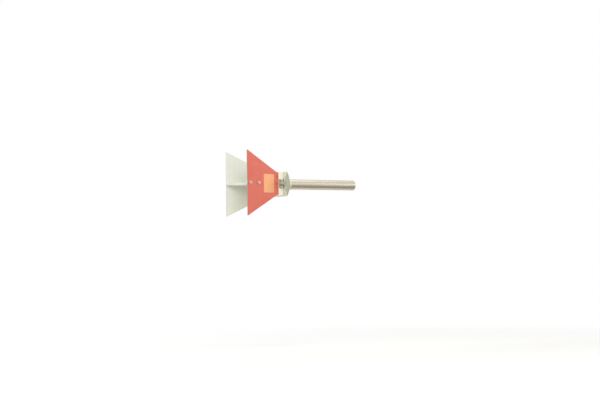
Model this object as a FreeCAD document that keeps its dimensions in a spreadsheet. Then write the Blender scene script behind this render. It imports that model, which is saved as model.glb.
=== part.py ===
import FreeCAD, Part
import math
import os
import Sketcher

# Double ridged horn antenna with open sides, on its own mounting tube.
#
# Frame: millimetres, +Z up. The X axis is the axis of the horn and of the tube, the horn
# looks towards -X, and the two flared plates stand upright at -Y (left) and +Y (right), so
# the electric field lies along Y. The origin is on the axis at the middle of the tube.
# Every piece of the horn is drawn from the throat, the plane where the plates begin to
# flare, at x = 0 of its own body, and the body is then moved to its place on the axis.

doc = FreeCAD.newDocument("ridged_horn")
sheet = doc.addObject("Spreadsheet::Sheet", "Sizes")

SIZES = [
    # Mounting tube
    ("tube_outside", 22.0, "outside diameter of the mounting tube"),
    ("tube_wall", 2.0, "wall of the mounting tube"),
    ("tube_length", 168.0, "length of the mounting tube"),
    ("tube_edge", 0.5, "chamfer on the ends of the tube"),
    # Flared plates
    ("plate_thickness", 2.0, "sheet of the flared plates"),
    ("aperture_gap", 86.0, "distance between the plates at the aperture"),
    ("throat_gap", 35.0, "distance between the plates at the throat"),
    ("flare_length", 84.0, "length of the flare along the axis"),
    ("aperture_width", 137.0, "width of a plate at the aperture"),
    ("throat_width", 45.5, "width of a plate at the throat and of its tab"),
    ("tab_length", 7.0, "straight tab behind the bend"),
    ("bend_radius", 3.0, "inside radius of the bend"),
    ("plate_corner", 0.6, "corner radius of a plate at the aperture"),
    # Ridges
    ("ridge_thickness", 5.0, "thickness of a ridge"),
    ("ridge_gap", 1.8, "distance between the ridges at the feed"),
    ("ridge_rear", 16.5, "how far a ridge runs back into the housing"),
    ("ridge_nose", 4.5, "height of the front edge of a ridge"),
    ("nose_setback", 0.8, "front edge of a ridge behind the aperture"),
    ("nose_corner", 0.8, "radius where the front edge meets the inner edge"),
    # Throat housing
    ("housing_length", 18.5, "length of the walls and covers"),
    ("housing_height", 50.0, "height over both covers"),
    ("wall_behind_tab", 3.5, "side wall under the tab of a plate"),
    ("cover_thickness", 5.0, "thickness of a cover"),
    ("housing_edge", 0.4, "chamfer on the outer edges of covers and walls"),
    # Cavity block
    ("block_side", 51.0, "across the flats of the block"),
    ("block_flat", 15.5, "length of a flat at its middle"),
    ("rear_cone", 8.4, "length of the rear cone"),
    ("block_edge", 0.5, "chamfer between rear cone and rear face"),
    ("cavity_width", 27.0, "width of the cavity along Y"),
    ("cavity_height", 36.0, "height of the cavity"),
    ("cavity_depth", 8.0, "depth of the cavity"),
    # Spigot inside the tube
    ("spigot_length", 22.0, "length of the spigot"),
    ("spigot_edge", 1.0, "lead-in chamfer of the spigot"),
    ("spigot_clearance", 0.1, "radial gap between spigot and tube"),
    # Coaxial socket
    ("feed_setback", 13.0, "feed line behind the throat"),
    ("flange_width", 10.2, "socket flange along X"),
    ("flange_height", 19.0, "socket flange along Z"),
    ("flange_thickness", 2.0, "thickness of the socket flange"),
    ("flange_corner", 1.0, "corner radius of the socket flange"),
    ("flange_edge", 0.2, "chamfer round the outer face of the flange"),
    ("flange_pitch", 14.0, "distance between the two flange screws"),
    ("barrel_diameter", 6.35, "outside diameter of the socket barrel"),
    ("barrel_length", 12.0, "length of the barrel beyond the flange"),
    ("barrel_edge", 0.35, "chamfer at the mouth of the barrel"),
    ("mouth_diameter", 4.6, "opening at the mouth of the barrel"),
    ("mouth_depth", 2.0, "depth of that opening"),
    ("insulator_diameter", 4.1, "insulator in the barrel and the wall"),
    ("ridge_bore", 3.0, "insulator inside the ridge"),
    ("pin_diameter", 1.27, "contact inside the barrel"),
    ("feed_diameter", 0.9, "feed line inside the ridge"),
    ("feed_depth", 4.0, "how far the feed line enters the other ridge"),
    ("feed_fit", 0.05, "radial gap round insulator and feed line"),
    # Screws
    ("screw_clearance", 0.15, "radial gap round every screw"),
    ("small_screw", 3.0, "thread diameter of the horn's screws"),
    ("small_head", 5.5, "head diameter of a socket head screw"),
    ("small_head_height", 3.0, "head height of a socket head screw"),
    ("small_hexagon", 2.5, "across the flats of its hexagon"),
    ("sunk_head", 5.8, "head diameter of a countersunk screw"),
    ("sunk_hexagon", 2.0, "across the flats of its hexagon"),
    ("washer_diameter", 7.0, "outside diameter of a ridge washer"),
    ("washer_thickness", 0.5, "thickness of a ridge washer"),
    ("ridge_screw_reach", 5.0, "ridge screw inside the ridge"),
    ("ridge_screw_margin", 7.3, "front ridge screw from the aperture, along the plate"),
    ("ridge_screw_pitch", 25.5, "distance between the two ridge screws of a side"),
    ("tab_pitch", 30.0, "distance between the outer tab screws"),
    ("tab_screw_length", 5.0, "length of an outer tab screw"),
    ("root_screw_length", 11.0, "length of the screw into the ridge's root"),
    ("cover_screw_setback", 12.8, "cover screw behind the throat"),
    ("cover_screw_length", 8.0, "length of a cover screw"),
    ("block_screw_height", 12.0, "block screw above and below the axis"),
    ("block_screw_seat", 11.5, "seat of a block screw behind the housing"),
    ("block_screw_reach", 7.5, "block screw inside the side wall"),
    ("flange_screw", 2.5, "thread diameter of a flange screw"),
    ("flange_screw_head", 4.5, "head diameter of a flange screw"),
    ("flange_screw_height", 1.7, "head height of a flange screw"),
    ("flange_hexagon", 1.5, "across the flats of its hexagon"),
    ("flange_screw_reach", 4.5, "flange screw inside the wall"),
    ("spigot_screw", 6.0, "thread diameter of the spigot screw"),
    ("spigot_screw_head", 10.0, "its head diameter"),
    ("spigot_screw_height", 6.0, "its head height"),
    ("spigot_hexagon", 5.0, "across the flats of its hexagon"),
    ("spigot_screw_reach", 13.5, "spigot screw inside the spigot"),
    ("grub_screw", 5.0, "thread diameter of the tube's grub screws"),
    ("grub_length", 6.0, "length of a grub screw"),
    ("grub_sunk", 0.3, "grub screw below the surface of the tube"),
    ("grub_hexagon", 2.5, "across the flats of its hexagon"),
    ("grub_setback", 7.0, "first grub screw behind the front end of the tube"),
    ("grub_pitch", 9.0, "distance between the grub screws"),
    ("hexagon_depth", 1.2, "depth of every hexagon"),
    ("head_edge", 0.3, "chamfer on the head of a socket head screw"),
]


class Size:
    """A length together with the formula that drives it in the document."""

    def __init__(self, text, value):
        self.text = text
        self.value = float(value)

    def __add__(self, other):
        other = size(other)
        return Size("(%s + %s)" % (self.text, other.text), self.value + other.value)

    def __radd__(self, other):
        return size(other) + self

    def __sub__(self, other):
        other = size(other)
        return Size("(%s - %s)" % (self.text, other.text), self.value - other.value)

    def __rsub__(self, other):
        return size(other) - self

    def __mul__(self, other):
        other = size(other)
        return Size("(%s * %s)" % (self.text, other.text), self.value * other.value)

    def __rmul__(self, other):
        return size(other) * self

    def __truediv__(self, other):
        other = size(other)
        return Size("(%s / %s)" % (self.text, other.text), self.value / other.value)

    def __neg__(self):
        return Size("(0 - %s)" % self.text, -self.value)


def size(number):
    """A plain number as a Size."""
    if isinstance(number, Size):
        return number
    return Size("%.10g" % number, number)


def root(square):
    """Square root of a Size."""
    return Size("sqrt(%s)" % square.text, math.sqrt(square.value))


def exponential(power):
    """The exponential of a Size."""
    return Size("exp(%s)" % power.text, math.exp(power.value))


def logarithm(ratio):
    """The natural logarithm of a Size."""
    return Size("log(%s)" % ratio.text, math.log(ratio.value))


for row, (alias, number, meaning) in enumerate(SIZES, start=1):
    sheet.set("A%d" % row, meaning)
    sheet.set("B%d" % row, "%.10g" % number)
    sheet.setAlias("B%d" % row, alias)
doc.recompute()
S = {alias: Size("Sizes.%s" % alias, number) for alias, number, meaning in SIZES}

# Derived lengths

half_throat = S["throat_gap"] / 2
half_aperture = S["aperture_gap"] / 2
wall_outside = half_throat + S["plate_thickness"]
wall_inside = half_throat - S["wall_behind_tab"]
cover_inside = S["housing_height"] / 2 - S["cover_thickness"]
rise = half_aperture - half_throat
slant = root(S["flare_length"] * S["flare_length"] + rise * rise)
flare_slope = rise / S["flare_length"]
sheet_along = S["plate_thickness"] * rise / slant
sheet_across = S["plate_thickness"] * S["flare_length"] / slant
outer_bend = S["plate_thickness"] * (slant - S["flare_length"]) / rise
block_half = S["block_side"] / 2
flat_end = S["housing_length"] + S["block_flat"]
block_end = flat_end + S["rear_cone"]
throat_x = -(S["tube_length"] / 2 + block_end)
tube_radius = S["tube_outside"] / 2
bore_radius = tube_radius - S["tube_wall"]
flare_angle = Size("atan(%s)" % flare_slope.text, math.degrees(math.atan(flare_slope.value)))

V = FreeCAD.Vector


def drive(item, path, amount):
    """Bind one property of an object to a Size."""
    item.setExpression(path, size(amount).text)


def place(item, x=0, y=0, z=0, turn=None):
    """Put an object at x, y, z, turned about Z by an angle that may be driven too."""
    x, y, z = size(x), size(y), size(z)
    turned = FreeCAD.Rotation() if turn is None else FreeCAD.Rotation(V(0, 0, 1), turn.value)
    item.Placement = FreeCAD.Placement(V(x.value, y.value, z.value), turned)
    for axis, amount in (("x", x), ("y", y), ("z", z)):
        drive(item, "Placement.Base." + axis, amount)
    if turn is not None:
        drive(item, "Placement.Rotation.Angle", turn)


def body(label, x=None, y=0, z=0, turn=None):
    """A new body in the frame of the throat, or at another point of the axis."""
    made = doc.addObject("PartDesign::Body", label)
    made.Label = label
    place(made, throat_x if x is None else x, y, z, turn)
    return made


def origin_item(owner, role):
    """The plane or axis of a body's own origin that has this role."""
    return [item for item in owner.Origin.OriginFeatures if item.Role == role][0]


def sketch(owner, plane, offset=0):
    """A sketch on an origin plane of its body, moved along the plane's normal."""
    made = owner.newObject("Sketcher::SketchObject", owner.Name + "_sketch")
    made.AttachmentSupport = (origin_item(owner, plane + "_Plane"), [""])
    made.MapMode = "FlatFace"
    offset = size(offset)
    made.AttachmentOffset = FreeCAD.Placement(V(0, 0, offset.value), FreeCAD.Rotation())
    drive(made, "AttachmentOffset.Base.z", offset)
    return made


def pin_point(drawn, item, point, u, v):
    """Hold one point of a sketch at the driven place u, v."""
    for kind, amount in (("DistanceX", size(u)), ("DistanceY", size(v))):
        held = drawn.addConstraint(Sketcher.Constraint(kind, -1, 1, item, point, amount.value))
        drive(drawn, "Constraints[%d]" % held, amount)


def polygon(drawn, corners):
    """A closed outline of straight lines through driven corners."""
    corners = [(size(u), size(v)) for u, v in corners]
    points = [V(u.value, v.value, 0) for u, v in corners]
    lines = []
    for start, end in zip(points, points[1:] + points[:1]):
        lines.append(drawn.addGeometry(Part.LineSegment(start, end), False))
    for line, following in zip(lines, lines[1:] + lines[:1]):
        drawn.addConstraint(Sketcher.Constraint("Coincident", line, 2, following, 1))
    for line, (u, v) in zip(lines, corners):
        pin_point(drawn, line, 1, u, v)
    return lines


def box_outline(drawn, low_u, low_v, high_u, high_v):
    """A closed rectangle between two driven corners."""
    return polygon(drawn, [(low_u, low_v), (high_u, low_v), (high_u, high_v), (low_u, high_v)])


def circle(drawn, u, v, radius):
    """A circle of driven centre and radius."""
    u, v, radius = size(u), size(v), size(radius)
    ring = drawn.addGeometry(Part.Circle(V(u.value, v.value, 0), V(0, 0, 1), radius.value), False)
    pin_point(drawn, ring, 3, u, v)
    held = drawn.addConstraint(Sketcher.Constraint("Radius", ring, radius.value))
    drive(drawn, "Constraints[%d]" % held, radius)
    return ring


def hexagon(drawn, u, v, across):
    """A hexagon of driven centre and width across the flats."""
    reach = size(across) / math.sqrt(3.0)
    corners = []
    for step in range(6):
        angle = math.radians(60.0 * step)
        corners.append((size(u) + reach * math.cos(angle), size(v) + reach * math.sin(angle)))
    return polygon(drawn, corners)


def pad(owner, drawn, length, backwards=False, centred=False, taper=None):
    """Raise a sketch into a solid."""
    made = owner.newObject("PartDesign::Pad", owner.Name + "_pad")
    made.Profile = drawn
    made.Length = size(length).value
    drive(made, "Length", length)
    made.Reversed = backwards
    made.Midplane = centred
    if taper is not None:
        made.TaperAngle = taper
    return made


def pocket(owner, drawn, depth, backwards=False, centred=False):
    """Cut a sketch out of the solid."""
    made = owner.newObject("PartDesign::Pocket", owner.Name + "_pocket")
    made.Profile = drawn
    made.Length = size(depth).value
    drive(made, "Length", depth)
    made.Reversed = backwards
    made.Midplane = centred
    return made


def ease_edges(owner, feature, amount, chosen, kind="Fillet"):
    """Fillet or chamfer those edges of a feature whose middle the test takes."""
    doc.recompute()
    names = []
    for number, line in enumerate(feature.Shape.Edges, start=1):
        if chosen(line.CenterOfMass):
            names.append("Edge%d" % number)
    made = owner.newObject("PartDesign::" + kind, owner.Name + "_" + kind.lower())
    made.Base = (feature, names)
    path = "Radius" if kind == "Fillet" else "Size"
    setattr(made, path, size(amount).value)
    drive(made, path, amount)
    return made


def near(point, x, y, z):
    """Whether a point lies at x, y, z."""
    return point.distanceToPoint(V(size(x).value, size(y).value, size(z).value)) < 0.01


def turned(owner, corners, axis, kind="Revolution"):
    """Turn an outline in the XY plane about an axis of the body."""
    drawn = sketch(owner, "XY")
    polygon(drawn, corners)
    made = owner.newObject("PartDesign::" + kind, owner.Name + "_turned")
    made.Profile = drawn
    made.ReferenceAxis = (origin_item(owner, axis + "_Axis"), [""])
    made.Angle = 360.0
    return made


def cut(label, base, tools):
    """A node made by cutting tools out of a body."""
    tool = tools[0]
    if len(tools) > 1:
        tool = doc.addObject("Part::MultiFuse", label + "_tools")
        tool.Shapes = tools
    made = doc.addObject("Part::Cut", label + "_cut")
    made.Base = base
    made.Tool = tool
    base.Label = label + "_blank"
    made.Label = label
    return made


# Screws
#
# A group of screws shares one body. Its sketches lie on an origin plane of the body, moved
# to the seat of the heads; out is +1 where the heads face along the plane's normal and -1
# where they face against it. The drill of a group is the same form grown by the clearance,
# with its holes a little deeper than the screws.

HOLE_BOTTOM = 0.5


def screw_group(label, plane, seat, out, sites, thread, length, hex_width, frame, head=None,
                height=None, sunk=False):
    """A group of equal screws in one body."""
    made = body(label, **frame)
    back = out < 0
    sites = [(size(u), size(v)) for u, v in sites]
    shanks = sketch(made, plane, seat)
    for u, v in sites:
        circle(shanks, u, v, thread / 2)
    pad(made, shanks, length, backwards=not back)
    top = size(seat)
    if head is not None:
        heads = sketch(made, plane, seat)
        for u, v in sites:
            circle(heads, u, v, head / 2)
        if sunk:
            pad(made, heads, (head - thread) / 2, backwards=not back, taper=-45.0)
        else:
            raised = pad(made, heads, height, backwards=back)
            top = top + height * out
            level = {"XY": "z", "XZ": "y", "YZ": "x"}[plane]
            face = -top.value if plane == "XZ" else top.value
            ease_edges(made, raised, S["head_edge"],
                       lambda middle: abs(getattr(middle, level) - face) < 0.01, "Chamfer")
    keys = sketch(made, plane, top)
    for u, v in sites:
        hexagon(keys, u, v, hex_width)
    pocket(made, keys, S["hexagon_depth"], backwards=back)
    return made


def drill_group(label, plane, seat, out, sites, thread, length, frame, head=None, reach=1.0,
                sunk=False):
    """The holes of a group of screws as one cutting body."""
    made = body(label, **frame)
    back = out < 0
    gap = S["screw_clearance"]
    sites = [(size(u), size(v)) for u, v in sites]
    holes = sketch(made, plane, seat)
    for u, v in sites:
        circle(holes, u, v, thread / 2 + gap)
    pad(made, holes, size(length) + HOLE_BOTTOM, backwards=not back)
    if head is not None:
        radius = head / 2 + gap
        if sunk:
            cone = sketch(made, plane, seat)
            for u, v in sites:
                circle(cone, u, v, radius)
            pad(made, cone, (head - thread) / 2, backwards=not back, taper=-45.0)
        above = sketch(made, plane, seat)
        for u, v in sites:
            circle(above, u, v, radius)
        pad(made, above, reach, backwards=back)
    else:
        above = sketch(made, plane, seat)
        for u, v in sites:
            circle(above, u, v, thread / 2 + gap)
        pad(made, above, reach, backwards=back)
    return made


# Flared plates, ridges and what fastens them, for the left (-Y) and right (+Y) side

SIDES = {"left": -1, "right": 1}
nodes = {}
ridge_drills = {}
tab_drills = {}
root_drills = {}

thread = S["small_screw"]
tab_middle = S["tab_length"] / 2
run = S["flare_length"] - S["nose_setback"]
nose_foot = half_throat + run * flare_slope
nose_tip = nose_foot - S["ridge_nose"]
flare_rate = logarithm(nose_tip / (S["ridge_gap"] / 2)) / run

for side, sign in SIDES.items():
    out = -sign
    slanted = {"y": half_throat * sign, "turn": flare_angle * (-sign)}

    # Ridge screws stand square on the slanted plate, over a washer each
    front_spot = S["ridge_screw_margin"] - slant
    spots = [(front_spot, 0), (front_spot + S["ridge_screw_pitch"], 0)]
    washer_seat = S["plate_thickness"] * out
    screw_seat = (S["plate_thickness"] + S["washer_thickness"]) * out
    screw_depth = S["washer_thickness"] + S["plate_thickness"] + S["ridge_screw_reach"]
    nodes[side + "_ridge_screws"] = screw_group(
        side + "_ridge_screws", "XZ", screw_seat, out, spots, thread, screw_depth,
        S["small_hexagon"], slanted, head=S["small_head"], height=S["small_head_height"])
    ridge_drills[side] = drill_group(
        side + "_ridge_drill", "XZ", screw_seat, out, spots, thread, screw_depth, slanted)

    washers = body(side + "_ridge_washers", **slanted)
    rings = sketch(washers, "XZ", washer_seat)
    for u, v in spots:
        circle(rings, u, v, S["washer_diameter"] / 2)
        circle(rings, u, v, thread / 2 + S["screw_clearance"])
    pad(washers, rings, S["washer_thickness"], backwards=out < 0)
    nodes[side + "_ridge_washers"] = washers

    # Countersunk screws hold the tab to the side wall, and the middle one the ridge's root
    tab_sites = [(tab_middle, S["tab_pitch"] / 2), (tab_middle, -S["tab_pitch"] / 2)]
    tab_seat = wall_outside * out
    nodes[side + "_tab_screws"] = screw_group(
        side + "_tab_screws", "XZ", tab_seat, out, tab_sites, thread, S["tab_screw_length"],
        S["sunk_hexagon"], {}, head=S["sunk_head"], sunk=True)
    tab_drills[side] = drill_group(
        side + "_tab_drill", "XZ", tab_seat, out, tab_sites, thread,
        S["plate_thickness"] + S["wall_behind_tab"], {}, head=S["sunk_head"], sunk=True)
    nodes[side + "_root_screw"] = screw_group(
        side + "_root_screw", "XZ", tab_seat, out, [(tab_middle, 0)], thread,
        S["root_screw_length"], S["sunk_hexagon"], {}, head=S["sunk_head"], sunk=True)
    root_drills[side] = drill_group(
        side + "_root_drill", "XZ", tab_seat, out, [(tab_middle, 0)], thread,
        S["root_screw_length"], {}, head=S["sunk_head"], sunk=True)

    # Flared plate: one sheet bent at the throat, then trimmed to its trapezoid
    plate = body(side + "_flare_plate")
    profile = sketch(plate, "XY")
    polygon(profile, [
        (S["tab_length"], half_throat * sign),
        (0, half_throat * sign),
        (-S["flare_length"], half_aperture * sign),
        (sheet_along - S["flare_length"], (half_aperture + sheet_across) * sign),
        (outer_bend, wall_outside * sign),
        (S["tab_length"], wall_outside * sign)])
    raised = pad(plate, profile, S["aperture_width"], centred=True)
    raised = ease_edges(plate, raised, S["bend_radius"] + S["plate_thickness"],
                        lambda middle: near(middle, 0, half_throat * sign, 0))
    ease_edges(plate, raised, S["bend_radius"],
               lambda middle: near(middle, outer_bend, wall_outside * sign, 0))
    trim = sketch(plate, "XZ")
    extra = 5.0
    edge_slope = (S["aperture_width"] - S["throat_width"]) / 2 / S["flare_length"]
    for up in (1, -1):
        high = S["aperture_width"] / 2 + extra
        polygon(trim, [
            (-S["flare_length"] - extra, high * up),
            (-S["flare_length"] - extra, (S["aperture_width"] / 2 + edge_slope * extra) * up),
            (0, S["throat_width"] / 2 * up),
            (S["tab_length"] + extra, S["throat_width"] / 2 * up),
            (S["tab_length"] + extra, high * up)])
    trimmed = pocket(plate, trim, S["aperture_gap"] * 2, centred=True)
    front = sheet_along / 2 - S["flare_length"]
    reach = S["aperture_width"] / 2 - edge_slope * sheet_along / 2
    ease_edges(plate, trimmed, S["plate_corner"],
               lambda middle: abs(middle.x - front.value) < 0.01
               and abs(abs(middle.z) - reach.value) < 0.01)
    nodes[side + "_flare_plate"] = cut(
        side + "_flare_plate", plate,
        [ridge_drills[side], tab_drills[side], root_drills[side]])

    # Ridge: its inner edge opens exponentially from the feed gap to the nose at the aperture
    ridge = body(side + "_ridge")
    edge = sketch(ridge, "XY")
    poles = [(size(0), S["ridge_gap"] / 2 * sign)]
    for share in (0.22, 0.45, 0.66, 0.84):
        poles.append((run * -share,
                      S["ridge_gap"] / 2 * exponential(flare_rate * run * share) * sign))
    poles.append((-run, nose_tip * sign))
    curve = Part.BSplineCurve()
    curve.buildFromPolesMultsKnots(
        [V(u.value, v.value, 0) for u, v in poles], [4, 1, 1, 4], [0, 1, 2, 3], False, 3)
    spline = edge.addGeometry(curve, False)
    edge.exposeInternalGeometry(spline)
    for index, (u, v) in enumerate(poles, start=1):
        pin_point(edge, spline + index, 3, u, v)
    corners = [
        (-run, nose_tip * sign),
        (-run, nose_foot * sign),
        (size(0), half_throat * sign),
        (size(0), wall_inside * sign),
        (S["ridge_rear"], wall_inside * sign),
        (S["ridge_rear"], S["ridge_gap"] / 2 * sign),
        (size(0), S["ridge_gap"] / 2 * sign)]
    lines = []
    for start, end in zip(corners, corners[1:]):
        lines.append(edge.addGeometry(Part.LineSegment(
            V(start[0].value, start[1].value, 0), V(end[0].value, end[1].value, 0)), False))
    edge.addConstraint(Sketcher.Constraint("Coincident", spline, 2, lines[0], 1))
    for line, following in zip(lines, lines[1:]):
        edge.addConstraint(Sketcher.Constraint("Coincident", line, 2, following, 1))
    edge.addConstraint(Sketcher.Constraint("Coincident", lines[-1], 2, spline, 1))
    for line, (u, v) in zip(lines[1:], corners[1:]):
        pin_point(edge, line, 1, u, v)
    raised = pad(ridge, edge, S["ridge_thickness"], centred=True)
    ease_edges(ridge, raised, S["nose_corner"],
               lambda middle: near(middle, -run, nose_tip * sign, 0))
    nodes[side + "_ridge"] = ridge

# Bores of the feed line, along -Y from the far ridge to the socket

feed_x = throat_x + S["feed_setback"]
feed_gap = S["feed_fit"]


def feed_bore(label, start, end, radius):
    """A cylinder on the feed line from y = start down to y = end."""
    made = doc.addObject("Part::Cylinder", label)
    start, length, radius = size(start), size(start) - size(end), size(radius)
    made.Radius = radius.value
    made.Height = length.value
    drive(made, "Radius", radius)
    drive(made, "Height", length)
    made.Placement = FreeCAD.Placement(
        V(feed_x.value, start.value, 0), FreeCAD.Rotation(V(1, 0, 0), 90))
    drive(made, "Placement.Base.x", feed_x)
    drive(made, "Placement.Base.y", start)
    return made


half_gap = S["ridge_gap"] / 2
wall_bore = feed_bore("wall_bore", -wall_inside, -wall_outside,
                      S["insulator_diameter"] / 2 + feed_gap)
left_bore = feed_bore("left_ridge_bore", -half_gap, -wall_inside,
                      S["ridge_bore"] / 2 + feed_gap)
right_bore = feed_bore("right_ridge_bore", half_gap + S["feed_depth"] + HOLE_BOTTOM, half_gap,
                       S["feed_diameter"] / 2 + feed_gap)
nodes["left_ridge"] = cut("left_ridge", nodes["left_ridge"],
                          [ridge_drills["left"], root_drills["left"], left_bore])
nodes["right_ridge"] = cut("right_ridge", nodes["right_ridge"],
                           [ridge_drills["right"], root_drills["right"], right_bore])

# Screws of the covers, of the cavity block and of the socket's flange

wall_middle = (wall_inside + wall_outside) / 2
cover_drills = {}
for level, sign in (("top", 1), ("bottom", -1)):
    sites = [(S["cover_screw_setback"], wall_middle), (S["cover_screw_setback"], -wall_middle)]
    seat = S["housing_height"] / 2 * sign
    nodes[level + "_cover_screws"] = screw_group(
        level + "_cover_screws", "XY", seat, sign, sites, thread, S["cover_screw_length"],
        S["sunk_hexagon"], {}, head=S["sunk_head"], sunk=True)
    cover_drills[level] = drill_group(
        level + "_cover_drill", "XY", seat, sign, sites, thread, S["cover_screw_length"], {},
        head=S["sunk_head"], sunk=True)

block_seat = S["housing_length"] + S["block_screw_seat"]
block_depth = S["block_screw_seat"] + S["block_screw_reach"]
block_sites = []
for across in (1, -1):
    for up in (1, -1):
        block_sites.append((wall_middle * across, S["block_screw_height"] * up))
nodes["block_screws"] = screw_group(
    "block_screws", "YZ", block_seat, 1, block_sites, thread, block_depth,
    S["small_hexagon"], {}, head=S["small_head"], height=S["small_head_height"])
block_drill = drill_group(
    "block_drill", "YZ", block_seat, 1, block_sites, thread, block_depth, {},
    head=S["small_head"], reach=S["block_side"])

flange_seat = wall_outside + S["flange_thickness"]
flange_sites = [(0, S["flange_pitch"] / 2), (0, -S["flange_pitch"] / 2)]
flange_depth = S["flange_thickness"] + S["flange_screw_reach"]
nodes["socket_screws"] = screw_group(
    "socket_screws", "XZ", flange_seat, 1, flange_sites, S["flange_screw"], flange_depth,
    S["flange_hexagon"], {"x": feed_x}, head=S["flange_screw_head"],
    height=S["flange_screw_height"])
flange_drill = drill_group(
    "flange_drill", "XZ", flange_seat, 1, flange_sites, S["flange_screw"], flange_depth,
    {"x": feed_x})

# Side walls of the housing, each with a rebate for the tab of its plate

for side, sign in SIDES.items():
    wall = body(side + "_side_wall")
    profile = sketch(wall, "XY", -cover_inside)
    polygon(profile, [
        (0, wall_inside * sign),
        (S["housing_length"], wall_inside * sign),
        (S["housing_length"], wall_outside * sign),
        (S["tab_length"], wall_outside * sign),
        (S["tab_length"], half_throat * sign),
        (0, half_throat * sign)])
    raised = pad(wall, profile, cover_inside * 2)
    ease_edges(wall, raised, S["housing_edge"],
               lambda middle: near(middle, S["housing_length"], wall_outside * sign, 0), "Chamfer")
    tools = [tab_drills[side], root_drills[side], cover_drills["top"], cover_drills["bottom"],
             block_drill]
    if side == "left":
        tools += [wall_bore, flange_drill]
    nodes[side + "_side_wall"] = cut(side + "_side_wall", wall, tools)

# Covers above and below, notched at the front for the tabs

for level, sign in (("top", 1), ("bottom", -1)):
    cover = body(level + "_cover")
    profile = sketch(cover, "XY", cover_inside * sign)
    polygon(profile, [
        (0, -half_throat),
        (S["tab_length"], -half_throat),
        (S["tab_length"], -wall_outside),
        (S["housing_length"], -wall_outside),
        (S["housing_length"], wall_outside),
        (S["tab_length"], wall_outside),
        (S["tab_length"], half_throat),
        (0, half_throat)])
    raised = pad(cover, profile, S["cover_thickness"], backwards=sign < 0)
    level_face = S["housing_height"].value / 2 * sign
    ease_edges(cover, raised, S["housing_edge"],
               lambda middle: abs(middle.z - level_face) < 0.01, "Chamfer")
    nodes[level + "_cover"] = cut(level + "_cover", cover, [cover_drills[level]])

# Spigot that carries the tube, drawn to the block by one screw from inside the cavity

spigot_seat = S["housing_length"] + S["cavity_depth"] + S["spigot_screw_height"]
spigot_depth = block_end + S["spigot_screw_reach"] - spigot_seat
nodes["spigot_screw"] = screw_group(
    "spigot_screw", "YZ", spigot_seat, -1, [(0, 0)], S["spigot_screw"], spigot_depth,
    S["spigot_hexagon"], {}, head=S["spigot_screw_head"], height=S["spigot_screw_height"])
spigot_drill = drill_group(
    "spigot_drill", "YZ", spigot_seat, -1, [(0, 0)], S["spigot_screw"], spigot_depth, {},
    head=S["spigot_screw_head"], reach=S["spigot_screw_height"] + S["cavity_depth"])

spigot_radius = bore_radius - S["spigot_clearance"]
spigot_end = block_end + S["spigot_length"]
spigot = body("tube_spigot")
turned(spigot, [
    (block_end, 0),
    (block_end, spigot_radius),
    (spigot_end - S["spigot_edge"], spigot_radius),
    (spigot_end, spigot_radius - S["spigot_edge"]),
    (spigot_end, 0)], "X")

# Grub screws under the tube, through its wall and into the spigot

grub_seat = tube_radius - S["grub_sunk"]
grub_sites = [(block_end + S["grub_setback"], 0),
              (block_end + S["grub_setback"] + S["grub_pitch"], 0)]
nodes["tube_screws"] = screw_group(
    "tube_screws", "XY", -grub_seat, -1, grub_sites, S["grub_screw"], S["grub_length"],
    S["grub_hexagon"], {})
grub_drill = drill_group(
    "grub_drill", "XY", -grub_seat, -1, grub_sites, S["grub_screw"], S["grub_length"], {})
nodes["tube_spigot"] = cut("tube_spigot", spigot, [spigot_drill, grub_drill])

# Mounting tube

tube = body("mast_tube", x=0)
half_tube = S["tube_length"] / 2
turned(tube, [
    (-half_tube, bore_radius),
    (-half_tube, tube_radius - S["tube_edge"]),
    (S["tube_edge"] - half_tube, tube_radius),
    (half_tube - S["tube_edge"], tube_radius),
    (half_tube, tube_radius - S["tube_edge"]),
    (half_tube, bore_radius)], "X")
nodes["mast_tube"] = cut("mast_tube", tube, [grub_drill])

# Cavity block: a square bar turned down to a cone at both ends, so that each flat keeps
# the outline of a lens

block = body("cavity_block")
section = sketch(block, "YZ", S["housing_length"])
box_outline(section, -block_half, -block_half, block_half, block_half)
pad(block, section, block_end - S["housing_length"])
beyond = S["block_side"]
turned(block, [
    (S["housing_length"], block_half),
    (S["housing_length"] + beyond, block_half + beyond),
    (S["housing_length"], block_half + beyond)], "X", "Groove")
turned(block, [
    (block_end, block_half - S["rear_cone"] - S["block_edge"]),
    (block_end, block_half + beyond),
    (flat_end - beyond, block_half + beyond),
    (block_end - S["block_edge"], block_half - S["rear_cone"] + S["block_edge"])],
    "X", "Groove")
hollow = sketch(block, "YZ", S["housing_length"])
box_outline(hollow, -S["cavity_width"] / 2, -S["cavity_height"] / 2,
            S["cavity_width"] / 2, S["cavity_height"] / 2)
pocket(block, hollow, S["cavity_depth"], backwards=True)
nodes["cavity_block"] = cut("cavity_block", block, [block_drill, spigot_drill])

# Coaxial socket: flange and barrel, insulator, and the contact with its feed line

barrel_end = wall_outside + S["flange_thickness"] + S["barrel_length"]
barrel_radius = S["barrel_diameter"] / 2
insulator_radius = S["insulator_diameter"] / 2
mouth_radius = S["mouth_diameter"] / 2
shell = body("socket_shell", x=feed_x)
flange = sketch(shell, "XZ", wall_outside)
box_outline(flange, -S["flange_width"] / 2, -S["flange_height"] / 2,
            S["flange_width"] / 2, S["flange_height"] / 2)
plate_pad = pad(shell, flange, S["flange_thickness"])
flange_middle = wall_outside + S["flange_thickness"] / 2
cornered = ease_edges(shell, plate_pad, S["flange_corner"],
                      lambda middle: abs(middle.y + flange_middle.value) < 0.01)
flange_face = wall_outside + S["flange_thickness"]
ease_edges(shell, cornered, S["flange_edge"],
           lambda middle: abs(middle.y + flange_face.value) < 0.01, "Chamfer")
turned(shell, [
    (0, -wall_outside),
    (barrel_radius, -wall_outside),
    (barrel_radius, S["barrel_edge"] - barrel_end),
    (barrel_radius - S["barrel_edge"], -barrel_end),
    (0, -barrel_end)], "Y")
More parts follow.
